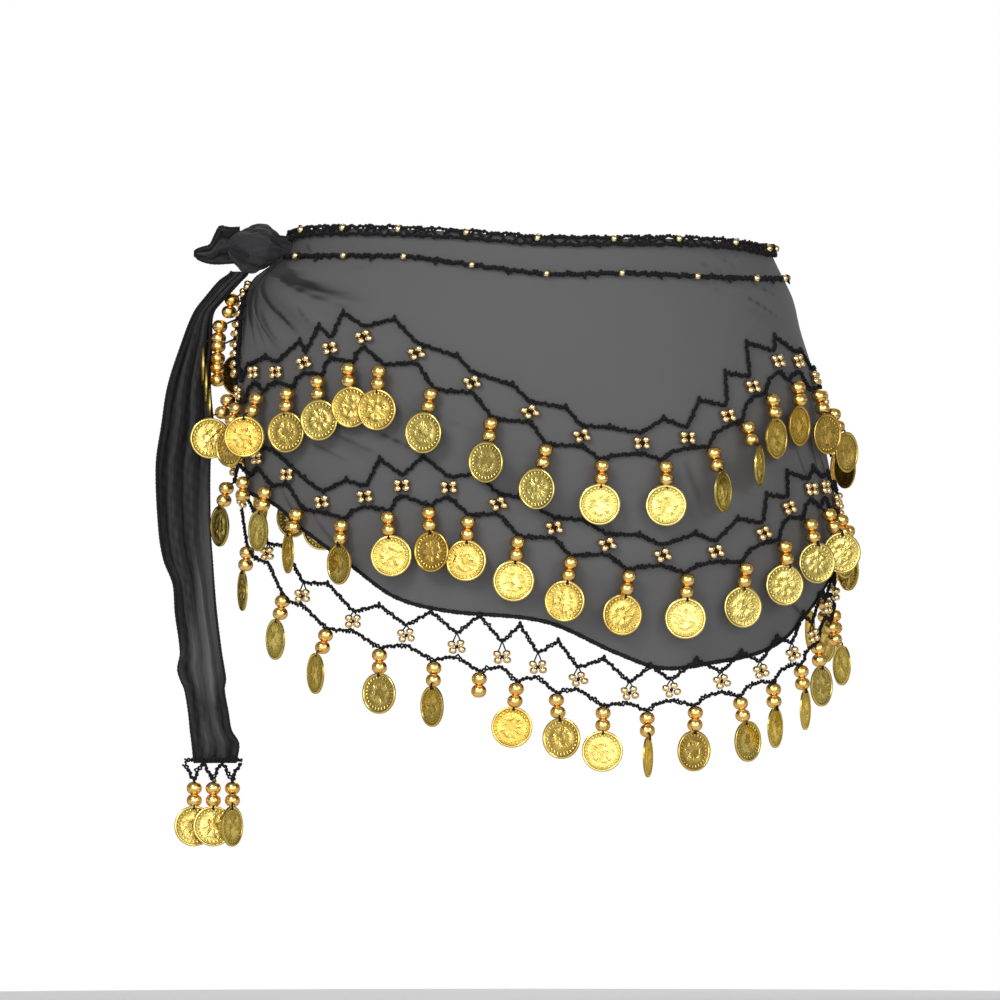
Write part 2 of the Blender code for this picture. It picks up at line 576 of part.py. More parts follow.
    def coin(self, foot, lift, sway, turn):
        """The coin with its faces; gives both faces' corners, clockwise from the top edge."""
        centre, side, out = self.frame_at(foot, COIN_TOP_DEPTH + COIN_RADIUS, lift, sway, turn)
        tilt = math.atan2(-sway, SWAY_LENGTH)
        up = Vector((0.0, 0.0, 1.0))
        side, up = (side * math.cos(tilt) + up * math.sin(tilt),
                    up * math.cos(tilt) - side * math.sin(tilt))
        front, back = [], []
        for i in range(COIN_SIDES):
            angle = 2 * math.pi * (i + 0.5) / COIN_SIDES
            rim = centre + (side * math.sin(angle) + up * math.cos(angle)) * COIN_RADIUS
            for face, sign in ((front, 1), (back, -1)):
                self.points.append(rim + out * sign * COIN_THICK / 2)
                face.append(len(self.points) - 1)
        self.faces.append(list(reversed(front)))
        self.faces.append(list(back))
        for i in range(COIN_SIDES - 1):
            self.faces.append([front[i], front[i + 1], back[i + 1], back[i]])
        return front, back

    def add(self, name, flowers, links, tie_height=None):
        """Builds the whole strip through its flowers and closes its two ends."""
        made = [self.flower(flower[:2], flower.lean) for flower in flowers]
        for i, (before, after) in enumerate(zip(flowers, flowers[1:])):
            link = links[i]
            lean = (before.lean + after.lean) / 2
            middle = (before.height + after.height) / 2
            low = (before.angle + (after.angle - before.angle) * link.drop, middle)
            high = (before.angle + (after.angle - before.angle) * link.peak, middle)
            if link.rise is None:
                peak = (high[0], tie_height(high[0]))
            else:
                peak = self.moved(high, 0.0, link.rise * MM, lean)
            self.link(made[i], made[i + 1], peak, low, lean, link)
        self.rim(made[0]["top"], made[0]["left"], made[0]["bottom"])
        self.rim(made[-1]["bottom"], made[-1]["right"], made[-1]["top"])
        return add_object(name, self.points, self.faces, "gold")


def add_trim_row(row):
    """One row of coin trim: on the cloth, or hanging from the hem."""

    def place(angle, height, lift):
        return skin(angle, height, lift, edge_height(HEM, angle) if row.hangs else None)

    def along_per_metre(angle, height):
        return 1.0 / metres_per_degree(angle, height)

    middle = TRIM_LIFT + CORD_THICK / 2
    lifts = (middle, middle) if row.hangs else (DROP_LIFT, COIN_LIFT)
    start = row.front_angles[-1]
    step = (row.last - start) / row.back_flowers
    angles = list(row.front_angles) + [start + step * (i + 1) for i in range(row.back_flowers)]
    flowers = [Flower(flower.angle, flower.height * MM, flower.lean) for flower in row.column]
    flowers += [Flower(angle, edge_height(row.edge, angle), 0.0) for angle in angles]
    trim = CoinTrim(place, along_per_metre, lifts)
    return trim.add(row.name, flowers, row.links,
                    lambda angle: edge_height(HEM, angle) + HEM_TIE_RISE)


def knot_point(around, along):
    """Point on the knot: an ellipsoid whose turns of cloth swell and sink across it."""
    wave = math.cos(KNOT_TURNS * around + KNOT_SWIRL * along)
    wraps = 1.0 + KNOT_SWELL * wave * math.sin(along)
    shape = Vector((math.cos(along), math.sin(along) * math.cos(around),
                    math.sin(along) * math.sin(around)))
    return KNOT_CENTRE + Vector(a * b for a, b in zip(shape, KNOT_HALF)) * wraps


def add_knot():
    """The knot where the two ends of the scarf are tied at the side."""
    points = [knot_point(0.0, 0.0)]
    for ring in range(1, KNOT_RINGS):
        along = math.pi * ring / KNOT_RINGS
        points += [knot_point(2 * math.pi * i / KNOT_SIDES, along) for i in range(KNOT_SIDES)]
    points.append(knot_point(0.0, math.pi))
    faces = []
    for i in range(KNOT_SIDES):
        j = (i + 1) % KNOT_SIDES
        faces.append([0, 1 + i, 1 + j])
        for ring in range(KNOT_RINGS - 2):
            base = 1 + ring * KNOT_SIDES
            faces.append([base + i, base + i + KNOT_SIDES, base + j + KNOT_SIDES, base + j])
        base = 1 + (KNOT_RINGS - 2) * KNOT_SIDES
        faces.append([base + i, len(points) - 1, base + j])
    return add_object("side_knot", points, faces, "chiffon")


def pleated_sheet(name, sections, pleats):
    """A gathered tie end: a wall folded to and fro across each section."""
    outer, inner = [], []
    across = 4 * pleats
    for start, end, depth_way, depth in sections:
        centre_line = []
        for i in range(across + 1):
            fold = math.cos(math.pi * 2 * i / 4) * depth / 2
            centre_line.append(start.lerp(end, i / across) + depth_way * fold)
        front, back = [], []
        for i, point in enumerate(centre_line):
            run = centre_line[min(i + 1, across)] - centre_line[max(i - 1, 0)]
            normal = run - depth_way * run.dot(depth_way)
            turned = depth_way * normal.length - normal.normalized() * run.dot(depth_way)
            turned.normalize()
            front.append(point + turned * TIE_WALL / 2)
            back.append(point - turned * TIE_WALL / 2)
        outer.append(front)
        inner.append(back)
    return add_walled_grid(name, outer, inner, "chiffon")


def add_long_tie_end():
    """The long end that hangs from the knot in soft pleats."""
    sections = []
    low, high = TAIL[-1].height, TAIL[0].height
    for step in range(TAIL_STEPS + 1):
        height = high + (low - high) * step / TAIL_STEPS

        def read(column):
            return read_table(TAIL, "height", column, height) * MM

        start = Vector((read("left"), read("middle_y"), height * MM))
        end = Vector((read("right"), read("middle_y"), height * MM))
        sections.append((start, end, Vector((0.0, -1.0, 0.0)), read("depth")))
    return pleated_sheet("long_tie_end", sections, TAIL_PLEATS)


def add_short_tie_end():
    """The short end that stands out of the knot."""
    sections = []
    for level, reach in zip(EAR, EAR_REACH):
        start = Vector((-reach, level.middle_y, level.right)) * MM
        end = Vector((-reach, level.middle_y, level.left)) * MM
        sections.append((start, end, Vector((0.0, -1.0, 0.0)), level.depth * MM))
    return pleated_sheet("short_tie_end", sections, EAR_PLEATS)


def add_tail_trim():
    """The coin trim along the bottom of the long tie end."""

    def place(along, height, lift):
        return TAIL_TRIM_CENTRE + Vector((along, -lift, height))

    middle = TRIM_LIFT + CORD_THICK / 2
    trim = CoinTrim(place, lambda along, height: 1.0, (middle, middle), TAIL_VALLEY_DROP)
    flowers = [Flower(across * MM, 0.0, 0.0) for across in TAIL_FLOWERS]
    return trim.add("coin_trim_tie_end", flowers, TAIL_LINKS)


def build():
    """Builds the whole scarf."""
    clear_scene()
    add_wrap()
    add_chain("waist_chain_upper", TOP_EDGE, UPPER_CHAIN_ENDS)
    add_chain("waist_chain_lower", SECOND_CHAIN, LOWER_CHAIN_ENDS)
    for row in TRIM_ROWS:
        add_trim_row(row)
    add_knot()
    add_short_tie_end()
    add_long_tie_end()
    add_tail_trim()


build()
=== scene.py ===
# %% [markdown]
# # A coin-trimmed hip scarf, worn and tied at the side
#
# The real scarf is one long piece of sheer black chiffon. It goes round the hips, its two ends
# are tied in a knot at one side, and crocheted trim with gold beads and stamped coins is sewn
# on it in three rows. The solids of the scarf come first, because every piece below is fitted
# over one of them and hides it.

# %% Load the solids
import math
from collections import namedtuple

import bpy
import numpy as np
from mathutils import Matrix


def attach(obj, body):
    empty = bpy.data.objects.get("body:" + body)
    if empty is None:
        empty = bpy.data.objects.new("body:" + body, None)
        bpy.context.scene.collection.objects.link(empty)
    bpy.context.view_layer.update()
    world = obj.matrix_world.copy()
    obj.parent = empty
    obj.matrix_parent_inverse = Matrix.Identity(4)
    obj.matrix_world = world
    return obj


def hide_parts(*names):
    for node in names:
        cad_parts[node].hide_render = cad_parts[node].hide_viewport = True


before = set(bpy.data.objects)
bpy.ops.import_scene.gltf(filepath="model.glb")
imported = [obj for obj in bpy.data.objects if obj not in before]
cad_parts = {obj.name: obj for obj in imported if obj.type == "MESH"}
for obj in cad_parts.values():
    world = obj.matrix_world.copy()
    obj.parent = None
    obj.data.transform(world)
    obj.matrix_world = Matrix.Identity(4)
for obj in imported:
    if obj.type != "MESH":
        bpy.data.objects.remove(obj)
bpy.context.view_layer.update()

MM = 0.001
print("solids to dress:", ", ".join(sorted(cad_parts)))

# %% [markdown]
# The photograph is square on to the front of the scarf, taken from far away, so the two sides
# don't widen or shrink. A long lens at ten metres gives that look. One pixel of the photograph
# is 0.55 mm at the scarf, which fixes the lens.

# %% Camera
PIXEL = 0.55 * MM
PHOTO_PIXELS = 1000
ORIGIN_PIXEL = (535, 240)
VIEW_DISTANCE = 10.0


def make_camera():
    """A level camera in front of the scarf, whose frame is the photograph's."""
    data = bpy.data.cameras.new("photo_view")
    data.lens = data.sensor_width * VIEW_DISTANCE / (PHOTO_PIXELS * PIXEL)
    camera = bpy.data.objects.new("photo_view", data)
    camera.location = ((PHOTO_PIXELS / 2 - ORIGIN_PIXEL[0]) * PIXEL, -VIEW_DISTANCE,
                       (ORIGIN_PIXEL[1] - PHOTO_PIXELS / 2) * PIXEL)
    camera.rotation_euler = (math.radians(90), 0, 0)
    bpy.context.scene.collection.objects.link(camera)
    bpy.context.scene.camera = camera
    return camera


print("lens:", round(make_camera().data.lens), "mm")

# %% [markdown]
# Shader maths reads best as plain arithmetic. A wire stands for what comes out of a node, and
# adding or multiplying wires puts the Math nodes in. Every other node comes from one method,
# which sets the node's own settings first and then its inputs.

# %% A small class for shader maths
class Wire:
    """An output of a node; arithmetic on it adds Math nodes to the same material."""

    def __init__(self, finish, socket):
        self.finish = finish
        self.socket = socket

    def maths(self, operation, *values):
        return self.finish.node("Math", {"operation": operation}, dict(enumerate(values)))

    def __add__(self, other):
        return self.maths("ADD", self, other)

    def __sub__(self, other):
        return self.maths("SUBTRACT", self, other)

    def __rsub__(self, other):
        return self.maths("SUBTRACT", other, self)

    def __mul__(self, other):
        return self.maths("MULTIPLY", self, other)

    def __truediv__(self, other):
        return self.maths("DIVIDE", self, other)

    def __pow__(self, other):
        return self.maths("POWER", self, other)

    def cosine(self):
        return self.maths("COSINE", self)

    def clamped(self):
        return self.maths("MINIMUM", self.maths("MAXIMUM", self, 0.0), 1.0)

    __radd__, __rmul__ = __add__, __mul__


class Finish:
    """A node tree that ends in a Principled shader, or a world's Background."""

    def __init__(self, owner, shader, **sockets):
        owner.use_nodes = True
        self.owner = owner
        self.tree = owner.node_tree
        self.shader = self.tree.nodes[shader]
        for name, value in sockets.items():
            self.shader.inputs[name.replace("_", " ")].default_value = value

    def node(self, kind, settings=None, values=None, output=0):
        """Adds a shader node: its settings first, then numbers or wires on its inputs."""
        made = self.tree.nodes.new("ShaderNode" + kind)
        for name, value in (settings or {}).items():
            if name == "stops":
                for stop in value[len(made.color_ramp.elements):]:
                    made.color_ramp.elements.new(stop[0])
                for element, (place, colour) in zip(made.color_ramp.elements, value):
                    element.position, element.color = place, colour
            else:
                setattr(made, name, value)
        for key, value in (values or {}).items():
            if isinstance(value, Wire):
                self.tree.links.new(value.socket, made.inputs[key])
            else:
                made.inputs[key].default_value = value
        return Wire(self, made.outputs[output])

    def feed(self, name, wire):
        """Joins a wire to the shader."""
        self.tree.links.new(wire.socket, self.shader.inputs[name])

    def mix(self, share, first, second):
        """Blends two colours; share 0 is the first."""
        return self.node("Mix", {"data_type": "RGBA"}, {0: share, 6: first, 7: second}, 2)

    def attribute(self, name):
        """A number kept at each point of the mesh."""
        return self.node("Attribute", {"attribute_name": name}, output=2)

    def noise(self, scale, detail=2.0, coordinate="Object"):
        """Cloudy pattern of so many waves to a metre."""
        where = self.node("TexCoord", output=coordinate)
        return self.node("TexNoise", {}, {"Vector": where, "Scale": scale, "Detail": detail})

    def bump(self, height, strength, distance):
        """Feeds a height to the shader as small relief."""
        self.feed("Normal", self.node("Bump", {}, {
            "Height": height, "Strength": strength, "Distance": distance}))


def new_finish(name, **sockets):
    return Finish(bpy.data.materials.new(name), "Principled BSDF", **sockets)


# %% [markdown]
# Metal shows what is round it, so the studio is as much of the gold as its colour is. The
# photograph's ground is white. A sky that is white at eye level and grey above and below gives
# that ground, and the grey makes the slopes of beads and stamped coins go dark. It is dimmer
# to the sides, so a coin that is turned away looks olive, and brightest straight in front, so
# one that faces front glares. Two soft boxes put the bright spots on the beads.

# %% Studio
SKY_STOPS = (
    (0.00, (0.20, 0.20, 0.20, 1)), (0.40, (0.24, 0.24, 0.24, 1)), (0.46, (1.0, 1.0, 1.0, 1)),
    (0.54, (1.0, 1.0, 1.0, 1)), (0.62, (0.34, 0.34, 0.34, 1)), (1.00, (0.60, 0.60, 0.60, 1)),
)
SIDE_LIGHT, FRONT_GLARE, GLARE_POWER = 0.42, 2.6, 6.0
FLOOR_HEIGHT = -0.436
FLOOR_RADIUS = 0.9


def make_sky():
    """World light: the direction's z goes through a ramp, and its y makes the strength, less
    to the sides and most in front."""
    world = bpy.data.worlds.new("studio")
    bpy.context.scene.world = world
    sky = Finish(world, "Background")
    way = sky.node("TexCoord", output="Generated")
    height = sky.node("SeparateXYZ", {}, {0: way}, "Z")
    sky.feed("Color", sky.node("ValToRGB", {"stops": SKY_STOPS}, {0: height * 0.5 + 0.5}))
    depth = sky.node("SeparateXYZ", {}, {0: way}, "Y")
    facing = (depth * -1.0).clamped() ** GLARE_POWER
    sky.feed("Strength", depth * depth * (1 - SIDE_LIGHT) + SIDE_LIGHT + facing * FRONT_GLARE)


def add_soft_box(name, place, size, watts, aim=(0.0, 0.0, -0.14)):
    """A square area light that faces the scarf."""
    data = bpy.data.lights.new(name, "AREA")
    data.size, data.energy = size, watts
    lamp = bpy.data.objects.new(name, data)
    lamp.location = place
    away = np.subtract(place, aim)
    flat = math.hypot(away[0], away[1])
    lamp.rotation_euler = (math.atan2(flat, away[2]), 0, math.atan2(away[0], -away[1]))
    bpy.context.scene.collection.objects.link(lamp)


def add_floor():
    """A pale round floor below the hanging scarf."""
    turn = np.linspace(0, 2 * np.pi, 96, endpoint=False)
    rim = np.stack([np.cos(turn), np.sin(turn), 0 * turn], -1) * FLOOR_RADIUS
    mesh = bpy.data.meshes.new("floor")
    mesh.from_pydata((rim + (0, 0, FLOOR_HEIGHT)).tolist(), [], [list(range(len(rim)))])
    floor = bpy.data.objects.new("floor", mesh)
    bpy.context.scene.collection.objects.link(floor)
    mesh.materials.append(new_finish("pale_floor", Base_Color=(0.9, 0.9, 0.9, 1),
                                     Roughness=0.8).owner)


bpy.context.scene.view_settings.view_transform = "Standard"
make_sky()
add_soft_box("key", (-1.1, -2.0, 1.3), 0.9, 26)
add_soft_box("fill", (1.6, -1.8, 0.7), 1.0, 12)
add_soft_box("back", (0.3, 2.2, 1.0), 1.2, 14)
add_floor()
print("studio: a banded sky, three soft boxes and a floor at", FLOOR_HEIGHT, "m")

# %% [markdown]
# Every piece below starts as arrays of points and of face corners. These few helpers turn
# them into meshes, give a sheet its two sides, and count the triangles.

# %% Arrays into meshes
made_triangles = {}


def grid_quads(rows, columns, closed_rows=False, closed_columns=False):
    """Corner numbers of the faces between neighbouring points of a grid, which may close on
    itself either way."""
    index = np.arange(rows * columns).reshape(rows, columns)
    if closed_rows:
        index = np.concatenate([index, index[:1]])
    if closed_columns:
        index = np.concatenate([index, index[:, :1]], 1)
    corners = [index[:-1, :-1], index[1:, :-1], index[1:, 1:], index[:-1, 1:]]
    return np.stack(corners, -1).reshape(-1, 4)


def ring_faces(rings, sides):
    """Faces of a stack of rings: the quads between them, and a flat cap on each end."""
    caps = np.stack([np.arange(sides)[::-1], np.arange(sides) + (rings - 1) * sides])
    return grid_quads(rings, sides, closed_columns=True), caps


def facing_out(points, faces):
    """The same faces, all turned over if the volume inside them comes out negative."""
    volume = 0.0
    for rows in faces:
        for i in range(1, rows.shape[1] - 1):
            a, b, c = (points[rows[:, j]] for j in (0, i, i + 1))
            volume += np.einsum("ij,ij->", a, np.cross(b, c))
    return faces if volume > 0 else [rows[:, ::-1] for rows in faces]


def add_piece(name, points, faces, finish, slot, node=None, marks=None, uv=None, sharp=50):
    """One object from points and lists of faces. marks are numbers kept at each point, and uv
    two numbers kept at each point. It rides on the scarf, and hides the node that it dresses."""
    points = np.asarray(points, float).reshape(-1, 3)
    faces = facing_out(points, [np.asarray(rows, int) for rows in faces])
    mesh = bpy.data.meshes.new(name)
    mesh.from_pydata(points.tolist(), [], [row for rows in faces for row in rows.tolist()])
    for mark, values in (marks or {}).items():
        mesh.attributes.new(mark, "FLOAT", "POINT").data.foreach_set("value", np.ravel(values))
    if uv is not None:
        corners = np.concatenate([rows.ravel() for rows in faces])
        mesh.uv_layers.new(name="UVMap").data.foreach_set(
            "uv", np.asarray(uv, float).reshape(-1, 2)[corners].ravel())
    mesh.shade_smooth()
    mesh.set_sharp_from_angle(angle=math.radians(sharp))
    mesh.materials.append(finish.owner)
    piece = bpy.data.objects.new(name, mesh)
    bpy.context.scene.collection.objects.link(piece)
    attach(piece, "root")
    if node:
        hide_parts(*([node] if isinstance(node, str) else node))
    made_triangles[name] = sum(len(rows) * (rows.shape[1] - 2) for rows in faces)
    return piece


def two_sided(outer, inner):
    """A wall between two grids of points, closed round its edge by one band of faces."""
    rows, columns = outer.shape[:2]
    half = rows * columns
    front = grid_quads(rows, columns)
    index = np.arange(half).reshape(rows, columns)
    rim = np.concatenate([index[0, :-1], index[:-1, -1], index[-1, :0:-1], index[:0:-1, 0]])
    after = np.roll(rim, -1)
    edge = np.stack([rim, after, after + half, rim + half], -1)
    return np.stack([outer, inner]), [np.concatenate([front, front[:, ::-1] + half, edge])]


def sheet_area(middle):
    """Area of a grid of points: half the length of the cross product of each cell's
    diagonals, summed."""
    cells = np.cross(middle[1:, 1:] - middle[:-1, :-1], middle[1:, :-1] - middle[:-1, 1:])
    return float(np.linalg.norm(cells, axis=-1).sum() / 2)


def unit(vectors):
    """Vectors of length one."""
    return vectors / np.linalg.norm(vectors, axis=-1, keepdims=True)


def scatter(shape, faces, places, axes):
    """Copies of one small shape: each of its points is a place plus x, y and z along that
    place's three axes. Gives all points, and faces whose numbers step on from copy to copy."""
    points = places[:, None] + np.einsum("pk,nkj->npj", shape, axes)
    step = np.arange(len(places))[:, None, None] * len(shape)
    return points, [(rows[None] + step).reshape(-1, rows.shape[1]) for rows in faces]


def tube(paths, outs, radii, sides=6):
    """A round tube along each of several paths of as many points: at each point a ring of the
    given radius, square to the path, and at each end a flat cap."""
    tangent = unit(np.gradient(paths, axis=1))
    across = unit(np.cross(tangent, outs))
    out = np.cross(across, tangent)
    turn = np.linspace(0, 2 * np.pi, sides, endpoint=False)
    ring = (np.cos(turn)[:, None] * across[..., None, :]
            + np.sin(turn)[:, None] * out[..., None, :])
    radii = np.broadcast_to(radii, paths.shape[:2])
    points = paths[..., None, :] + ring * radii[..., None, None]
    count, steps = paths.shape[:2]
    start = np.arange(count)[:, None, None] * steps * sides
    return points.reshape(-1, 3), [(rows + start).reshape(-1, rows.shape[1])
                                   for rows in ring_faces(steps, sides)]


def join(*parts):
    """Several (points, faces) as one, with the face numbers stepped on."""
    points, faces, start = [], [], 0
    for part_points, part_faces in parts:
        part_points = np.reshape(part_points, (-1, 3))
        points.append(part_points)
        faces += [rows + start for rows in facing_out(part_points, part_faces)]
        start += len(part_points)
    return np.concatenate(points), faces


# %% [markdown]
# The scarf takes its form from the hips inside it. A general hip form is a stack of ovals:
# one table gives, at each height, how far it reaches to the left, to the right and to the
# front. Angles go round it from the front centre, positive towards the wearer's left.
# A smooth curve through each table gives every size in between.

# %% The hip form, from its tables
Section = namedtuple("Section", "height left right depth")
SECTIONS = Section(*np.array([
    (-240, 156, 156, 113), (-193, 160, 160, 116), (-176, 163, 165, 118), (-143, 164, 165, 118),
    (-115, 163, 160, 116), (-88, 164, 157, 113), (-66, 164, 151, 110), (-50, 163, 146, 107),
    (-33, 160, 142, 104), (-22, 155, 137, 102), (-14, 145, 133, 101), (-7, 139, 130, 99),
    (0, 137, 129, 98), (8, 137, 129, 97),
], float).T * MM)


def through(keys, values, where, pull=1.0):
    """Smooth curve through a table's points, flat beyond its ends. Between two points it is a
    cubic, whose slope at each point is that of the line between the point's neighbours, times
    pull; with pull 0 it eases straight from point to point."""
    keys, values = np.asarray(keys, float), np.asarray(values, float)
    where = np.clip(where, keys[0], keys[-1])
    i = np.clip(np.searchsorted(keys, where, side="right") - 1, 0, len(keys) - 2)
    slopes = np.zeros(len(keys))
    slopes[1:-1] = pull * (values[2:] - values[:-2]) / (keys[2:] - keys[:-2])
    span = keys[i + 1] - keys[i]
    t = (where - keys[i]) / span
    return ((2 * t**3 - 3 * t**2 + 1) * values[i] + (t**3 - 2 * t**2 + t) * span * slopes[i]
            + (3 * t**2 - 2 * t**3) * values[i + 1] + (t**3 - t**2) * span * slopes[i + 1])


def edge(table, angle):
    """Height of one of the named edges at an angle, in metres."""
    return through(table[:, 0], table[:, 1], angle) * MM


def half_sizes(angle, height):
    """Half breadth of the hip form on the angle's side, and its half depth."""
    side = np.where(np.sin(np.radians(angle)) < 0, through(SECTIONS.height, SECTIONS.left, height),
                    through(SECTIONS.height, SECTIONS.right, height))
    return side, through(SECTIONS.height, SECTIONS.depth, height)


def outward(angle, height):
    """Level direction straight out of the hip form."""
    breadth, depth = half_sizes(angle, height)
    turn = np.radians(angle)
    return unit(np.stack([depth * np.sin(turn), -breadth * np.cos(turn), 0 * turn], -1))


# %% [markdown]
# Cloth that is pulled into a knot falls into creases that fan out from it and die away. Each
# crease here is one line of a table: where it starts and ends, how wide it is and how high it
# stands. The first table holds the large ones, which the solids have too. The second holds the
# fine ones, read one by one from the photograph, and similar ones on the hidden back.

# %% Creases
Crease = namedtuple("Crease", "angle height to_angle to_height half_width rise")
FOLDS = [Crease(*row) for row in (
    (-68, -18, -30, -34, 7, 2.6), (-74, -24, -42, -52, 7, 2.8), (-76, -30, -56, -60, 6, 2.4),
    (-79, -22, -73, -50, 5, 2.2), (-76, -92, -72, -106, 6, 1.8), (-52, -92, -30, -120, 8, 2.2),
    (-34, -80, -12, -118, 8, 1.8), (8, -180, 26, -210, 9, 2.0), (46, -34, 68, -48, 7, 1.8),
    (52, -180, 66, -196, 7, 2.2), (63, -84, 68, -118, 6, 2.0), (79, -92, 82, -126, 6, 2.2),
    (74, -160, 76, -192, 6, 2.2), (104, -104, 102, -132, 6, 2.2), (126, -30, 146, -48, 8, 2.2),
    (132, -84, 152, -98, 8, 2.2), (170, -72, 190, -92, 8, 2.0), (160, -124, 184, -136, 8, 2.0),
    (196, -44, 222, -32, 8, 2.4), (230, -34, 254, -22, 6, 2.6), (214, -78, 236, -62, 7, 2.2),
)]
FINE_CREASES = [Crease(*row) for row in (
    (-80, -11, -33, -35, 3.2, 1.7), (-64, -21, -34, -42, 1.8, 1.1), (-77, -18, -49, -55, 2.8, 1.6),
    (-80, -20, -77, -66, 3.4, 1.7), (-85, -26, -83, -68, 2.6, 1.3), (-78, -24, -68, -64, 2.2, 1.1),
    (-79, -16, -44, -27, 1.6, 0.9), (-78, -20, -60, -60, 1.8, 0.9), (-80, -8, -60, -12, 2.2, 1.0),
    (-72, -40, -62, -64, 1.6, 0.7), (-68, -38, -56, -62, 1.6, 0.7), (-66, -46, -56, -66, 1.6, 0.7),
    (-60, -38, -50, -58, 1.5, 0.6), (-54, -36, -47, -50, 1.4, 0.6), (-52, -12, -36, -17, 1.6, 0.6),
    (-66, -2, -60, -9, 2.6, 0.7), (-70, -18, -52, -20, 2.4, 0.9), (-82, -60, -74, -74, 2.2, 0.8),
    (-50, -110, -36, -124, 2.0, 0.7), (-44, -104, -28, -122, 1.8, 0.6), (-38, -98, -20, -120, 1.8, 0.7),
    (-32, -106, -16, -124, 1.6, 0.5), (-26, -92, -8, -108, 1.8, 0.5), (40, -12, 52, -20, 1.6, 0.6),
    (48, -8, 58, -20, 1.6, 0.6), (54, -4, 62, -18, 1.5, 0.6), (42, -25, 47, -30, 1.6, 0.5),
    (52, -30, 74, -50, 2.0, 0.9), (57, -24, 74, -34, 1.8, 0.8), (62, -110, 70, -160, 2.4, 0.9),
    (70, -100, 74, -150, 2.2, 1.0), (76, -112, 80, -170, 2.4, 1.1), (82, -120, 84, -176, 2.2, 1.0),
    (62, -200, 72, -214, 2.0, 0.8), (56, -196, 68, -206, 2.0, 0.8), (12, -132, 16, -186, 5.0, 0.7),
    (-2, -122, 4, -150, 4.5, 0.6), (30, -120, 34, -158, 4.5, 0.6), (-58, -136, -46, -170, 2.4, 0.8),
    (-66, -128, -58, -152, 2.2, 0.8), (-48, -150, -36, -182, 2.4, 0.7),
    (112, -14, 122, -60, 2.4, 0.9), (124, -20, 150, -66, 2.4, 0.8), (140, -24, 172, -52, 2.2, 0.8),
    (160, -96, 150, -146, 2.6, 0.9), (182, -18, 206, -50, 2.4, 0.8), (206, -24, 240, -34, 2.4, 1.0),
    (216, -46, 250, -30, 2.4, 1.2), (222, -66, 254, -38, 2.2, 1.1), (232, -84, 258, -44, 2.4, 1.2),
    (240, -96, 260, -50, 2.2, 1.0), (198, -98, 214, -132, 2.4, 0.8), (96, -130, 98, -176, 2.4, 0.9),
)]
MM_PER_DEGREE = 2.7
FINE_HEAD = 0.62


def crease_sum(creases, angle, height, head=1.0):
    """Sum of creases. Along each one runs the hump of a sine, which leans to its start where
    head is under 1, and across it a squared cosine."""
    total = np.zeros(np.broadcast(angle, height).shape)
    for one in creases:
        along_x, along_y = (one.to_angle - one.angle) * MM_PER_DEGREE, one.to_height - one.height
        x, y = (angle - one.angle) * MM_PER_DEGREE, height / MM - one.height
        length = math.hypot(along_x, along_y)
        t = np.clip((x * along_x + y * along_y) / length**2, 0, 1)
        away = np.abs(along_x * y - along_y * x) / length / one.half_width
        hump = np.sin(np.pi * t**head) * np.cos(np.pi / 2 * np.minimum(away, 1)) ** 2
        total += one.rise * hump
    return total * MM


def crease_lift(angle, height):
    """How far all creases lift the cloth."""
    return crease_sum(FOLDS, angle, height) + crease_sum(FINE_CREASES, angle, height, FINE_HEAD)


def skin(angle, height, lift, hang_from=None):
    """Point over the cloth's outer face; below hang_from it drops straight down."""
    angle, height, lift = np.broadcast_arrays(*(np.asarray(x, float) for x in (angle, height, lift)))
    level = height if hang_from is None else np.maximum(height, hang_from)
    breadth, depth = half_sizes(angle, level)
    turn = np.radians(angle)
    point = np.stack([breadth * np.sin(turn), -depth * np.cos(turn), height], -1)
    return point + outward(angle, level) * (lift + crease_lift(angle, level))[..., None]


print(len(FOLDS), "large creases and", len(FINE_CREASES), "fine ones")

# %% [markdown]
# Chiffon is a plain weave of thin, hard-twisted yarns with gaps between them. One layer looks
# mid grey because the light behind it comes through; that light is painted into the colour as a
# mid grey, on a cloth that is nearly opaque. A crease looks darker because light passes two or
# three layers there, so the painted shade of a crease is kept as a number at each point of the
# mesh, and darkens the colour and closes the weave. The weave itself follows the cloth, so it
# reads the UV map, which is laid out in metres.

# %% Chiffon
YARNS_PER_METRE = 1500.0


def chiffon(name, plain, dark, opacity):
    """Sheer black weave: painted grey for light through one layer, dark where painted shade is 1."""
    finish = new_finish(name, Roughness=0.78, Sheen_Weight=0.12, Sheen_Roughness=0.5,
                        Specular_IOR_Level=0.25)
    shade = finish.attribute("shade").clamped()
    cloudy = finish.noise(14.0, 3.0)
    flat = finish.node("TexCoord", output="UV")
    across = finish.node("SeparateXYZ", {}, {0: flat}, "X")
    down = finish.node("SeparateXYZ", {}, {0: flat}, "Y")
    yarns = (across * (2 * math.pi * YARNS_PER_METRE)).cosine() * (
        down * (2 * math.pi * YARNS_PER_METRE)).cosine()
    share = (shade + (cloudy - 0.5) * 0.16 + yarns * 0.05).clamped()
    # Painted light and shade: the colour goes from the painted grey of light through one layer to the
    # painted near-black of several layers.
    finish.feed("Base Color", finish.mix(share, (*plain, 1), (*dark, 1)))
    finish.feed("Alpha", (shade * 0.4 + (opacity + yarns * 0.03)).clamped())
    finish.bump(yarns + finish.noise(900.0) * 0.6, 0.25, 0.12 * MM)
    return finish


# Painted light and shade: the first colour stands in for the light through one layer, the second for
# the shade where layers pile up.
wrap_chiffon = chiffon("sheer_chiffon", (0.106, 0.105, 0.107), (0.010, 0.010, 0.012), 0.95)
gathered_chiffon = chiffon("gathered_chiffon", (0.115, 0.114, 0.118), (0.007, 0.007, 0.009), 0.96)
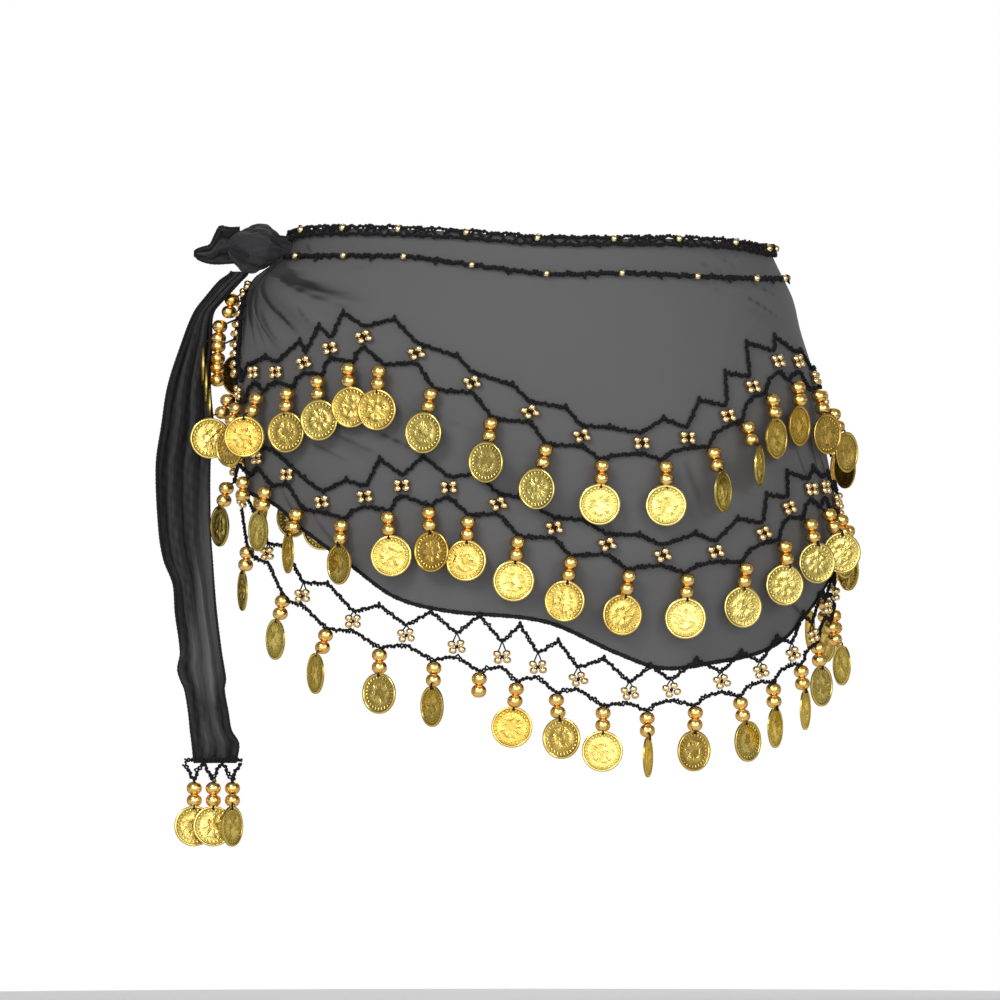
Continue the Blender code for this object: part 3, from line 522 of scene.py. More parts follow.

# %% [markdown]
# The wrap runs from the knot across the front, round the back and to the knot again. It is a
# grid: one direction goes round, the other from the top edge down to the hem. More columns go
# to the front, where the fine creases are. It could be one sheet folded in a simulation, but
# the photograph fixes where each crease lies, so they are placed one by one.

# %% The wrap
TOP_EDGE = np.array([
    (-88, 0.5), (-66, 5.0), (-40, 5.3), (-16, 2.8), (2, -0.5), (37, -0.5), (56, -2), (75, -5),
    (95, -4.5), (130, -1.5), (180, 2), (230, 4.5), (258, 3.5),
])
HEM = np.array([
    (-92, -138), (-80, -141), (-72, -146), (-64, -158), (-52, -176), (-41, -195), (-29, -203),
    (-7, -209), (9, -226), (20, -234.5), (35, -231), (48, -226), (58, -218), (66, -207),
    (85, -187), (100, -179), (120, -166), (142, -155), (172, -143), (204, -125), (228, -110),
    (246, -98), (262, -92),
])
Slit = namedtuple("Slit", "height front back")
SIDE_SLIT = Slit(*np.array([
    (-240, -70, -105), (-150, -72, -104), (-100, -82, -96), (-30, -85, -87.5), (10, -86, -86.2),
]).T)
SIDE_SEAM = 90.0
FRONT_COLUMNS, BACK_COLUMNS, WRAP_ROWS = 330, 150, 84
CLOTH_THICK = 0.5 * MM


def slit(side, height):
    """Angle of the cloth's open edge under the knot."""
    return through(SIDE_SLIT.height * MM, getattr(SIDE_SLIT, side), height)


def wrap_places(across, down):
    """Angle and height on the wrap; across goes from 0 to 1 over the front and on to 2 round
    the back, and down goes from 0 at the top edge to 1 at the hem."""
    front = across <= 1
    back_end = 360 + slit("back", 0.0)
    guess = np.where(front, slit("front", 0.0) + (SIDE_SEAM - slit("front", 0.0)) * across,
                     SIDE_SEAM + (back_end - SIDE_SEAM) * (across - 1))
    height = edge(TOP_EDGE, guess) * (1 - down) + edge(HEM, guess) * down
    start, end = slit("front", height), 360 + slit("back", height)
    angle = np.where(front, start + (SIDE_SEAM - start) * across,
                     SIDE_SEAM + (end - SIDE_SEAM) * (across - 1))
    return angle, height


def wrap_painted_shade(angle, height):
    """Painted shade: dark along the creases, at the sides, by the slit and near the knot."""
    fine = (crease_sum(FINE_CREASES, angle, height, FINE_HEAD) / (1.15 * MM)) ** 1.3
    broad = crease_sum(FOLDS, angle, height) / (9 * MM)
    turned = np.where(angle > 180, angle - 360, angle)
    from_knot = np.hypot((turned + 80) * 2.0, height / MM + 20)
    at_side = 0.22 * np.exp(-(((np.abs(turned) - 90) / 5) ** 2))
    by_slit = 0.75 * np.exp(-(((turned + 90) / 12) ** 2)) * np.clip((height / MM + 88) / 26, 0, 1)
    return fine + broad + at_side + by_slit + 0.9 * np.exp(-((from_knot / 28) ** 2))


def add_wrap():
    """The whole wrap as one sheet."""
    across = np.concatenate([np.linspace(0, 1, FRONT_COLUMNS + 1),
                             np.linspace(1, 2, BACK_COLUMNS + 1)[1:]])
    down = np.linspace(0, 1, WRAP_ROWS + 1)[:, None]
    angle, height = wrap_places(across[None], down)
    points, faces = two_sided(skin(angle, height, 0.0), skin(angle, height, -CLOTH_THICK))
    # Painted shade of the creases, sides, slit and knot, kept at each point.
    shade = wrap_painted_shade(angle, height)
    flat = np.stack([angle * MM_PER_DEGREE * MM, height], -1)
    wrap = add_piece("wrap_cloth", points, faces, wrap_chiffon, "chiffon",
                     ("wrap_front", "wrap_back"), {"shade": [shade, shade]},
                     np.stack([flat, flat]))
    return wrap, sheet_area(skin(angle, height, -CLOTH_THICK / 2))


wrap_cloth, wrap_area = add_wrap()

# %% [markdown]
# The edges of thin chiffon are rolled and whipped with thread, which leaves a narrow dark
# cord along them. A thin, slightly lumpy tube along the hem and the two slit edges does it.

# %% Rolled edges
HEM_CORD_RADIUS = 1.25 * MM
cord_finish = new_finish("black_cord", Base_Color=(0.006, 0.006, 0.008, 1), Roughness=0.75,
                         Specular_IOR_Level=0.2)
fibres = cord_finish.noise(2600.0, 3.0)
cord_finish.feed("Base Color", cord_finish.mix(fibres, (0.002, 0.002, 0.003, 1),
                                               (0.016, 0.016, 0.019, 1)))
cord_finish.bump(fibres, 0.5, 0.25 * MM)


def spaced(path, outs, gap):
    """The same path with its points an even gap apart, and the outward directions there."""
    run = np.concatenate([[0], np.cumsum(np.linalg.norm(np.diff(path, axis=0), axis=1))])
    at = np.linspace(0, run[-1], max(4, int(run[-1] / gap)))
    pick = lambda values: np.stack([np.interp(at, run, values[:, k]) for k in range(3)], -1)
    return pick(path), unit(pick(outs)), at


def rolled_edge(across, down, radius):
    """A whipped roll along one edge of the wrap, lumpy every 2 mm."""
    angle, height = wrap_places(across, down)
    path, outs, run = spaced(skin(angle, height, -CLOTH_THICK / 2), outward(angle, height),
                             1.0 * MM)
    lumps = 1 + 0.16 * np.cos(run * 2 * np.pi / (2.3 * MM)) + 0.08 * np.cos(run * 901)
    return tube(path[None], outs[None], (radius * lumps)[None])


line = np.linspace(0, 2, 900)
side_line = np.linspace(0.03, 1, 160)
rolled = join(rolled_edge(line, 1 + 0 * line, HEM_CORD_RADIUS),
              rolled_edge(0 * side_line, side_line, 0.6 * MM),
              rolled_edge(2 + 0 * side_line, side_line, 0.6 * MM))
add_piece("wrap_rolled_edge", *rolled, cord_finish, "dark_cord")
print("rolled edge:", made_triangles["wrap_rolled_edge"], "triangles")

# %% [markdown]
# The knot is the cloth itself, drawn tight: turns that swirl across it, with a band over the
# middle. An egg shape whose radius swells and sinks with the turns gives that, in the place
# of the solid knot. It holds many layers, so it is painted nearly black and nothing shows
# through; the paint is darkest where the turns sink in, as painted shade, and a little lighter
# on their tops. A small ruffled fan beside it is the last of the wrap before it goes into the
# knot, painted with the dark shade of its layers.

# %% The knot
KNOT_CENTRE = np.array([-153.4, -20.0, -4.6]) * MM
KNOT_HALF = np.array([15.0, 14.0, 12.0]) * MM
KNOT_RINGS, KNOT_SIDES = 96, 160
BAND_WIDTH, BAND_RISE = 0.34, 0.10
FAN_PLACE, FAN_TOP, FAN_TALL = (-142, -24), 2.5, 15.0
FAN_ANGLE, FAN_END_TOP, FAN_END_TALL = -75.0, 1.5, 26.0
# The last number is the painted shade of the fan's layers.
FAN_RUFFLES, FAN_RUFFLE_DEPTH, FAN_THICK, FAN_PAINTED_SHADE = 7, 0.7 * MM, 0.5 * MM, 0.9


def knot_radius(along, around):
    """Size of the egg against its plain form: the three large turns that the solid has, finer
    ones that swirl the same way, and a raised band that crosses its middle at a slant."""
    turns = 0.09 * np.cos(3 * around + 2.2 * along) * np.sin(along)
    fine = 0.028 * np.cos(11 * around + 5.0 * along + np.cos(3 * around)) * np.sin(along)
    finer = 0.012 * np.cos(23 * around - 4.0 * along) * np.sin(along) ** 2
    slant = (along - np.pi / 2 - 0.30 * np.cos(around + 0.8)) / BAND_WIDTH
    return 1 + turns + fine + finer + BAND_RISE * np.exp(-slant**6)


def knot_fan():
    """A fan of cloth from a short upright line at the knot's side to a longer one on the
    wrap, with ruffles that are a cosine down it times half a sine from side to side."""
    down, over = np.linspace(0, 1, 61)[None], np.linspace(0, 1, 9)[:, None]
    x, y = (np.full(down.shape, value * MM) for value in FAN_PLACE)
    start = np.stack([x, y, (FAN_TOP - FAN_TALL * down) * MM], -1)
    end = skin(np.full(down.shape, FAN_ANGLE), (FAN_END_TOP - FAN_END_TALL * down) * MM, 0.5 * MM)
    ruffle = FAN_RUFFLE_DEPTH * np.cos(2 * np.pi * FAN_RUFFLES * down) * np.sin(np.pi * over)
    middle = start * (1 - over[..., None]) + end * over[..., None] + ruffle[..., None] * (0, -1, 0)
    half = (0, FAN_THICK / 2, 0)
    points, faces = two_sided(middle - half, middle + half)
    flat = np.stack(np.broadcast_arrays(over * 12 * MM, down * 20 * MM), -1)
    return points, faces, np.stack([flat, flat])


def add_knot():
    along = np.linspace(0.02, np.pi - 0.02, KNOT_RINGS)[:, None]
    around = np.linspace(0, 2 * np.pi, KNOT_SIDES, endpoint=False)[None]
    size = knot_radius(along, around)
    shape = np.stack(np.broadcast_arrays(np.cos(along), np.sin(along) * np.cos(around),
                                         np.sin(along) * np.sin(around)), -1)
    points = (KNOT_CENTRE + shape * KNOT_HALF * size[..., None]).reshape(-1, 3)
    faces = list(ring_faces(KNOT_RINGS, KNOT_SIDES))
    # Painted shade: darkest where the turns sink in, a little lighter on their tops.
    shade = np.clip(1.25 - (size - 0.9) * 3, 0.82, 1)
    flat = np.stack(np.broadcast_arrays(around, along), -1) * KNOT_HALF[2]
    fan, fan_faces, fan_flat = knot_fan()
    points, faces = join((points, faces), (fan, fan_faces))
    marks = {"shade": np.concatenate([shade.ravel(), np.full(fan.size // 3, FAN_PAINTED_SHADE)])}
    return add_piece("knot_cloth", points, faces, gathered_chiffon, "chiffon", "side_knot", marks,
                     np.concatenate([flat.reshape(-1, 2), fan_flat.reshape(-1, 2)]))


add_knot()
print("knot:", made_triangles["knot_cloth"], "triangles")

# %% [markdown]
# The two tied ends hang in pleats. Across each end the cloth goes to and fro, which a cosine
# gives, with a faster and weaker one for the small tucks. The widths and places come from
# tables down the hanging end and out along the short one. The long end is held up by the knot
# alone, so it sways a little out from the hip.

# %% The two tie ends
Level = namedtuple("Level", "height left right middle_y depth")
TAIL = Level(*np.array([
    (-287, -187.5, -164.5, 11, 5), (-277, -188.3, -163.4, 11, 6), (-270, -189.2, -167.4, 11, 6),
    (-260, -190.2, -169.2, 11, 6), (-247, -192.4, -171.4, 11.5, 7), (-242, -194.6, -170.6, 12, 7),
    (-236, -196.2, -171.4, 12, 7), (-227, -194.7, -172.9, 12, 7), (-205, -197.5, -175.6, 12.5, 8),
    (-189, -198.8, -177.0, 13, 8), (-176, -203.8, -177.9, 13, 9), (-160, -206.5, -179.0, 13, 9),
    (-124, -208, -179.2, 13, 9), (-102, -205, -177.5, 13, 9), (-80, -201.5, -179, 14, 9),
    (-57, -194, -178, 11.5, 9), (-40, -187, -177, 0, 8), (-31, -180, -169.5, -7, 8),
    (-23, -173, -162, -13, 7), (-17.6, -166.5, -157.5, -18, 5),
]).T * MM)
Reach = namedtuple("Reach", "reach low high middle_y depth")
EAR = Reach(*np.array([
    (162, -12.4, 6.4, -20, 5), (167, -12.8, 6.2, -20.5, 6), (170, -13.0, 6.6, -21, 6),
    (173, -13.2, 6.9, -21, 6), (175.5, -13.2, 2.4, -21.5, 6), (178, -13.0, -2.8, -22, 5),
    (182, -12.0, -4.4, -22, 4.5), (185, -10.6, -5.4, -22.5, 4), (186.5, -9.0, -6.4, -23, 3),
]).T * MM)
TAIL_PLEATS, EAR_PLEATS = 3, 2
END_THICK = 0.45 * MM


def pleats(across, run, count, depth):
    """Depth of a pleated section: a large wave of so many pleats, whose phase drifts along the
    cloth, and a small quick one."""
    drift = 0.5 * np.sin(run * 3.1)
    large = np.cos(2 * np.pi * count * across + drift)
    small = np.cos(2 * np.pi * (2 * count + 1) * across + 2.1 * np.sin(run * 4.0))
    return depth / 2 * (0.85 * large + 0.14 * small)


def pleated_end(name, node, start, end, depth, count, run, single=None):
    """A gathered end between two edges of points, pleated towards the front. Its painted shade is
    that of many layers, lighter where the pleats stand forward and darker where they fall back,
    but for a strip where a single layer shows, as single says, where it is lightened."""
    across = np.linspace(0, 1, 40 * count + 1)[None]
    wave = pleats(across, run[:, None], count, depth[:, None])
    middle = start[:, None] * (1 - across[..., None]) + end[:, None] * across[..., None]
    middle = middle + wave[..., None] * (0.0, -1.0, 0.0)
    normal = unit(np.cross(np.gradient(middle, axis=1), np.gradient(middle, axis=0)))
    points, faces = two_sided(middle + normal * END_THICK / 2, middle - normal * END_THICK / 2)
    mottle = 0.10 * np.sin(61 * run[:, None] + 9 * across) * np.sin(23 * run[:, None] - 31 * across)
    # Painted shade: darker where the pleats fall back, lighter where they stand forward, with a random
    # mottle; less of it where one layer shows.
    shade = 0.90 - 0.18 * wave / (depth[:, None] + 1e-9) + mottle
    if single is not None:
        shade = shade * (1 - single(middle[..., 0], middle[..., 2]))
    width = np.concatenate([[0], np.cumsum(np.linalg.norm(np.diff(middle[len(run) // 2], axis=0),
                                                          axis=1))])
    flat = np.stack(np.broadcast_arrays(width[None], run[:, None] * 0.1), -1)
    piece = add_piece(name, points, faces, gathered_chiffon, "chiffon", node,
                      {"shade": [shade, shade]}, [flat, flat])
    return piece, middle, sheet_area(middle)


# Where one layer shows, share says how much of the painted shade is taken off.
Strip = namedtuple("Strip", "height centre half_width share")
SINGLE_LAYER = Strip(*np.array([
    (-290, -176, 8, 0.0), (-272, -178, 6, 0.35), (-258, -179, 2.5, 0.5), (-244, -180, 6.5, 0.85),
    (-230, -181.5, 8.5, 0.92), (-205, -181.5, 6.5, 0.85), (-176, -182, 4.5, 0.7), (-140, -184, 4, 0.3),
    (-110, -186, 4, 0.0),
], float).T * ((MM,), (MM,), (MM,), (1.0,)))


def single_layer(x, height):
    """How far the cloth is a single layer there: a soft strip near the front edge."""
    at = lambda column: through(SINGLE_LAYER.height, column, height)
    away = (x - at(SINGLE_LAYER.centre)) / at(SINGLE_LAYER.half_width)
    return at(SINGLE_LAYER.share) * np.exp(-(away**4))


def add_long_end():
    height = np.linspace(TAIL.height[-1], TAIL.height[0], 220)
    at = lambda column: through(TAIL.height, column, height)
    edges = [np.stack([at(column), at(TAIL.middle_y), height], -1)
             for column in (TAIL.left, TAIL.right)]
    return pleated_end("long_end_cloth", "long_tie_end", *edges, at(TAIL.depth), TAIL_PLEATS,
                       (height[-1] - height) * 10, single_layer)


def add_short_end():
    reach = np.linspace(EAR.reach[0], EAR.reach[-1], 50)
    at = lambda column: through(EAR.reach, column, reach)
    edges = [np.stack([-reach, at(EAR.middle_y), at(column)], -1)
             for column in (EAR.low, EAR.high)]
    return pleated_end("short_end_cloth", "short_tie_end", *edges, at(EAR.depth), EAR_PLEATS,
                       (reach - reach[0]) * 10)


long_end, long_middle, long_area = add_long_end()
short_end, short_middle, short_area = add_short_end()
print("long end", round(long_area, 4), "and short end", round(short_area, 5), "square metres")


def end_roll(path, radius):
    """A rolled edge along one border of a tie end."""
    path, outs, run = spaced(path, np.tile((0.0, -1.0, 0.02), (len(path), 1)), 1.0 * MM)
    return tube(path[None], outs[None], (radius * (1 + 0.16 * np.cos(run * 2700)))[None])


rolled = join(end_roll(long_middle[:, 0], 0.9 * MM), end_roll(long_middle[:, -1], 0.7 * MM),
              end_roll(long_middle[-1], 0.9 * MM), end_roll(short_middle[-1], 0.8 * MM),
              end_roll(short_middle[:, 0], 0.7 * MM), end_roll(short_middle[:, -1], 0.7 * MM))
add_piece("tie_end_rolled_edges", *rolled, cord_finish, "dark_cord")

# %% [markdown]
# The trim is crocheted in black cord. A crochet chain is a yarn that loops through itself, so
# from a step away it looks like two strands that wind round each other and part now and then.
# That is how each cord is made here: two thin tubes on one path, half a turn apart.

# %% Crocheted cord
CORD_RADIUS, STRAND_PART, STRAND_TURN = 0.60 * MM, 0.62 * MM, 4.2 * MM
CORD_WOBBLE, WOBBLE_LENGTHS = 0.28 * MM, (6.1 * MM, 3.7 * MM)


def crochet(path, outs, radius=CORD_RADIUS, part=STRAND_PART, loose=0.5):
    """Two strands round a path: each is off it by part, more where the loops are loose, and
    they wind once in every turn length. Two sines make the path itself wobble sideways."""
    path, outs, run = spaced(path, outs, 0.75 * MM)
    tangent = unit(np.gradient(path, axis=0))
    across = unit(np.cross(tangent, outs))
    wobble = sum(np.sin(run * 2 * np.pi / length + start)
                 for start, length in enumerate(WOBBLE_LENGTHS))
    path = path + across * (wobble * CORD_WOBBLE)[:, None]
    phase = run / STRAND_TURN * 2 * np.pi
    apart = part * (1 + loose * np.maximum(0, np.sin(run / (17 * MM) * 2 * np.pi + 1.3)) ** 3)
    strands = np.stack([path + (apart * np.cos(phase + half))[:, None] * across
                        + (part * np.sin(phase + half))[:, None] * outs for half in (0, np.pi)])
    size = radius * (1 + 0.16 * np.cos(2 * phase + 0.7))
    return tube(strands, np.stack([outs, outs]), np.stack([size, size]), 5)


def key_path(place, keys, lift, pull=0.3, steps=14):
    """A cord's path through keys of angle and height, eased from key to key."""
    count = np.arange(len(keys))
    at = np.linspace(0, len(keys) - 1, steps * (len(keys) - 1) + 1)
    angle, height = (through(count, keys[:, k], at, pull) for k in (0, 1))
    path = place(angle, height, lift)
    return path, unit(place(angle, height, lift + 1 * MM) - path)


# %% [markdown]
# Two chains run along the waist, one on the top edge and one below it. The upper one is made
# of loops: two strands run side by side, and a third zigzags between them. The lower one is a
# single chain with small picots that point down. Gold beads sit on both, about 42 mm apart.

# %% The two chains along the waist
UPPER_CHAIN_ENDS, LOWER_CHAIN_ENDS = (-77.0, 258.0), (-74.0, 257.0)
SECOND_CHAIN = np.array([
    (-76, -9.5), (-58, -9.4), (-43, -9.6), (-28, -10.5), (-12, -15.4), (3, -19.8), (21, -19.3),
    (41, -20.9), (61, -21.7), (90, -21), (130, -18.5), (180, -14.5), (230, -10.5), (258, -9.5),
])
CHAIN_LIFT = 2.1 * MM
LOOP_SPREAD, LOOP_LENGTH, LOOP_MIDDLE = 2.1 * MM, 4.6, -1.0 * MM
UPPER_BEADS = np.concatenate([(-66.5, -49, -32.5, -15.7, 0.5, 19, 36.5, 56, 75),
                              np.arange(92.5, 256, 17.4)])
LOWER_BEADS = np.concatenate([(-66, -47, -30, -13.5, 2.5, 20, 39.5, 60, 78),
                              np.arange(95.5, 256, 17.4)])
CHAIN_PICOT = 3.2 * MM


def chain_path(edge_table, ends, offset=0.0, lift=CHAIN_LIFT):
    """A path along one of the chains' lines, offset upwards by a wave or a number."""
    angle = np.linspace(*ends, 1500)
    rise = offset(angle) if callable(offset) else offset
    height = edge(edge_table, angle) + rise
    path = skin(angle, height, lift)
    return path, outward(angle, height)


def uneven_wave(angle, length):
    """A cosine round the body whose length itself swells and shrinks."""
    drift = 1.3 * np.sin(angle * 0.21) + 0.9 * np.sin(angle * 0.47)
    return np.cos(2 * np.pi * angle / length + drift)


def chain_picots(angles):
    """Short stubs of cord that hang from the lower chain."""
    height = edge(SECOND_CHAIN, angles)
    share = np.linspace(0, 1, 4)[None, :, None]
    foot, tip = (skin(angles, height - drop, CHAIN_LIFT)[:, None] for drop in (0.0, CHAIN_PICOT))
    outs = np.repeat(outward(angles, height)[:, None], 4, 1)
    return tube(foot * (1 - share) + tip * share, outs,
                np.tile(np.array([1.1, 0.9, 0.8, 0.35]) * MM, (len(angles), 1)))


def upper_strand(offset, radius, part):
    """One strand of the upper chain; offset gives its height in loop spreads at an angle."""
    return crochet(*chain_path(TOP_EDGE, UPPER_CHAIN_ENDS,
                               lambda angle: LOOP_MIDDLE + LOOP_SPREAD * offset(angle)),
                   radius, part)


upper_chain = join(
    upper_strand(lambda a: 1 + 0.16 * uneven_wave(a, 7.0), 0.62 * MM, 0.45 * MM),
    upper_strand(lambda a: -1 - 0.16 * uneven_wave(a, 5.3), 0.62 * MM, 0.45 * MM),
    upper_strand(lambda a: uneven_wave(a, LOOP_LENGTH), 0.6 * MM, 0.35 * MM))
add_piece("waist_chain_top", *upper_chain, cord_finish, "dark_cord", "waist_chain_upper")
lower_chain = join(
    crochet(*chain_path(SECOND_CHAIN, LOWER_CHAIN_ENDS,
                        lambda a: 0.35 * MM * uneven_wave(a, 4.1)), 0.8 * MM, 0.6 * MM),
    chain_picots((LOWER_BEADS[1:] + LOWER_BEADS[:-1]) / 2))
add_piece("waist_chain_second", *lower_chain, cord_finish, "dark_cord", "waist_chain_lower")
print("chains:", sum(made_triangles["waist_chain_" + name] for name in ("top", "second")),
      "triangles")

# %% [markdown]
# A row of trim is set out from its flowers, the clusters of four small beads. Between two
# flowers the upper cord rises to a peak and the lower cord dips to a drop: two large beads and
# a coin. On the cloth a row follows its own line; the lowest row hangs from the hem, and there
# the peaks are tied to the hem. Beside the knot two rows turn down the cloth's open edge, so a
# flower there leans. Each link between two flowers has its own line in a table: how far along
# the peak is and how high it rises, how far along the drop hangs, how far its coin sways, how
# far the coin is turned and how far it is pushed out by its neighbour.

# %% The three rows and the short one, from their tables
TIED = BARE = math.nan
Links = namedtuple("Links", "peak rise drop sway turn lift")
COLUMN_UPPER = ((-82.5, -27, 130), (-82.5, -38, 90), (-82.5, -49, 90), (-82.5, -60, 90),
                (-82.5, -71, 80), (-78, -84, 20))
TRIM_UPPER = np.array([
    (-68, -73), (-58.5, -73), (-49.5, -68), (-42.5, -60), (-34.5, -54), (-23, -63), (-12, -79),
    (-1, -95), (9, -108), (21, -112), (31, -109), (41, -97), (49, -81), (60, -67), (70, -67),
    (80, -76), (90, -86), (105, -94), (122, -86), (138, -66), (154, -54), (170, -61),
    (187, -68), (206, -62), (226, -49), (244, -42), (258, -36),
])
LINKS_UPPER = Links(*np.array([
    (.5, 7, .5, 0, BARE, .4), (.5, 7, .5, 0, 0, 12.6), (.5, 7, .5, 0, 0, 10.9),
    (.5, 7, .5, 0, 0, 9.2), (.5, 8, 1.0, 1.5, -85, 0), (.5, 9, .5, -4, -20, 0),
    (.5, 8, .45, -2, -45, 0), (.8, 14, .6, .8, -15, 0), (.52, 15.7, .7, 2.5, -9, 0),
    (.3, 16, .7, 1.8, -6, 1.2), (.56, 13.9, .4, -1.5, 0, 2.5), (.73, 6.2, .3, -3.5, 14, 0),
    (.7, 6.5, .34, -2.3, 27, 0), (.7, 8.6, .3, -5, 30, 0), (.47, 6.5, .3, -2.2, 5, 0),
    (.5, 11.6, .42, -2, 12, 0), (.34, 14.3, .5, -.5, -38, 0), (.15, 15.2, .5, 0, -41, 0),
    (.15, 16.5, .35, -2, -15, 0), (.22, 13.2, .3, -4, -4, 0), (.5, 10, .3, -3, 20, 0),
    (.5, 10, .5, 0, 28, 0), (.5, 10, .5, 0, -20, 0), (.45, 12, .4, -1.5, 15, 0),
    (.6, 11, .5, 1, 30, 0), (.5, 13, .55, 1, -10, 0), (.4, 10, .5, -1, 0, 0),
    (.55, 12, .45, 0, -40, 0), (.5, 9, .5, 1.5, 20, 0), (.5, 12, .6, 1, 10, 0),
    (.45, 11, .4, -1, -15, 0), (.5, 10, .5, 0, 35, 0), (.55, 13, .5, -1, 5, 0),
    (.5, 12, .45, 0, -25, 0), (.4, 10, .5, 1, 15, 0), (.5, 11, .5, 0, 0, 0), (.5, 10, .5, 0, 20, 0),
]).T)
TRIM_MIDDLE = np.array([
    (-90, -126), (-80, -118), (-67, -120), (-55, -129), (-44.5, -144), (-34, -141), (-26, -135),
    (-16.5, -136), (-7, -145), (3.5, -158), (13.5, -167), (24.5, -173), (36, -171), (48, -161),
    (56, -147), (65, -137), (73, -136), (90, -148), (104, -143), (122, -129), (142, -113),
    (160, -106), (182, -110), (204, -103), (226, -90), (244, -81), (260, -74),
])
LINKS_MIDDLE = Links(*np.array([
    (.5, 9, .5, 0, -20, 0), (.5, 9, .75, 0, BARE, 0), (.5, 9, .55, -4, 10, 0),
    (.5, 5, .45, -1.5, 33, 0), (.55, 10.2, .55, .5, 25, 0), (.37, 17, .7, 2.5, -15, 0),
    (.44, 16, .62, 2, 18, 0), (.56, 11.6, .42, -1.5, 0, 0), (.37, 9.8, .36, -2.5, -5, 0),
    (.55, 8.6, .3, -3, 18, 0), (.58, 7.9, .38, -2.5, -5, 0), (.62, 10.6, .46, -.8, 20, 0),
    (.46, 12.6, .56, 1, 10, 0), (.2, 13.6, .6, 1.5, 20, 0), (.15, 13.9, .6, 1, 25, 0),
    (.5, 11, .6, 1.5, 40, 0), (.5, 11, .5, 0, 15, 0), (.5, 11, .5, 0, -10, 0),
    (.5, 12, .5, 0, -20, 0), (.4, 10, .45, -1, 15, 0), (.55, 13, .5, 1, 5, 0),
    (.5, 9, .55, 0, -30, 0), (.5, 12, .5, -1, 20, 0), (.45, 14, .4, -1.5, 0, 0),
    (.5, 11, .5, 0, 40, 0), (.6, 10, .6, 1.5, -5, 0), (.5, 12, .5, 0, 15, 0),
    (.5, 13, .45, -1, -15, 0), (.4, 11, .5, 0, 10, 0), (.5, 10, .5, 1, 25, 0),
    (.55, 12, .5, 0, -10, 0), (.5, 11, .4, -1, 5, 0), (.5, 12, .5, 0, 30, 0), (.5, 10, .5, 0, 0, 0),
]).T)
COLUMN_LOWER = ((-75, -143, 30),)
TRIM_LOWER = np.array([
    (-62, -172.2), (-50.5, -195.3), (-38, -209), (-26, -216.7), (-15.5, -222.8), (-6.5, -228.3),
    (0.5, -233.8), (8.5, -240.4), (19, -248), (28, -246.4), (40, -242), (51, -236.5),
    (62, -227.2), (71, -217.3), (80, -201.9), (91, -194.7), (100, -190.5), (120, -177.5),
    (142, -166.5), (172, -154.5), (204, -136.5), (228, -121.5), (246, -109.5), (262, -103.5),
])
LINKS_LOWER = Links(*np.array([
    (.5, TIED, .3, -2, 10, 0), (.5, TIED, .45, -2.5, 15, 0), (.5, TIED, .45, -2.5, 30, 0),
    (.5, TIED, .5, .8, 12, 0), (.5, TIED, .55, 1, 42, 0), (.5, TIED, .5, -1, BARE, 0),
    (.5, TIED, .4, -2.5, 0, 0), (.5, TIED, .45, 2.5, 28, 0), (.5, TIED, .48, -.8, 10, 0),
    (.5, TIED, .42, -2.5, -60, 0), (.5, TIED, .47, -2, -12, 0), (.5, TIED, .47, 3, -14, 0),
    (.5, TIED, .4, -3, -22, 0), (.5, TIED, .42, -1, -17, 0), (.5, TIED, .4, -1, 12, 0),
    (.5, TIED, .5, 0, -30, 0), (.5, TIED, .5, 0, 10, 0), (.5, TIED, .45, 1, -5, 0),
    (.5, TIED, .55, -1.5, 25, 0), (.5, TIED, .5, 0, 5, 0), (.5, TIED, .4, -1, 30, 0),
    (.5, TIED, .5, 1, 0, 0), (.5, TIED, .5, 0, -40, 0), (.5, TIED, .45, 0, 15, 0),
    (.5, TIED, .55, 1.5, 10, 0), (.5, TIED, .5, -1, -10, 0), (.5, TIED, .5, 0, 20, 0),
    (.5, TIED, .45, 0, 0, 0), (.5, TIED, .5, 1, 35, 0), (.5, TIED, .5, 0, 5, 0),
    (.5, TIED, .5, 0, -15, 0),
]).T)
TAIL_FLOWERS = np.array([-18.75, -8.25, 2.25, 12.75]) * MM
TAIL_LINKS = Links(*np.array([
    (.5, 4.5, .5, 0, -15, 0), (.5, 4.5, .5, 0, -10, 3), (.5, 4.5, .5, 0, -60, 0),
]).T)
TAIL_TRIM_CENTRE = np.array([-174.0, 8.1, -290.5]) * MM
Row = namedtuple("Row", "name edge column front_angles back_flowers last links hangs")
ROWS = (
    Row("upper", TRIM_UPPER, COLUMN_UPPER,
        (-68, -58.5, -49.5, -42.5, -34.5, -23, -12, -1, 9, 21, 31, 41, 49, 60, 70, 80, 91),
        15, 257.0, LINKS_UPPER, False),
    Row("middle", TRIM_MIDDLE, (),
        (-90, -80, -67, -55, -44.5, -34, -26, -16.5, -7, 3.5, 13.5, 24.5, 36, 48, 56, 65, 73,
         82, 91), 16, 257.0, LINKS_MIDDLE, False),
    Row("lower", TRIM_LOWER, COLUMN_LOWER,
        (-62, -50.5, -38, -26, -15.5, -6.5, 0.5, 8.5, 19, 28, 40, 51, 62, 71, 80, 91),
        15, 250.0, LINKS_LOWER, True),
)
TRIM_LIFT = 1.65 * MM
VALLEY_DROP, TAIL_VALLEY_DROP = 10.6 * MM, 7.1 * MM
HEM_TIE_RISE = 1.0 * MM
BEAD_DEPTHS = (4.0 * MM, 10.7 * MM)
BEAD_EXTRA_LIFT = 4.2
TURNED_COIN_PULL = 0.3
COIN_RADIUS, COIN_TOP_DEPTH = 11.2 * MM, 13.6 * MM


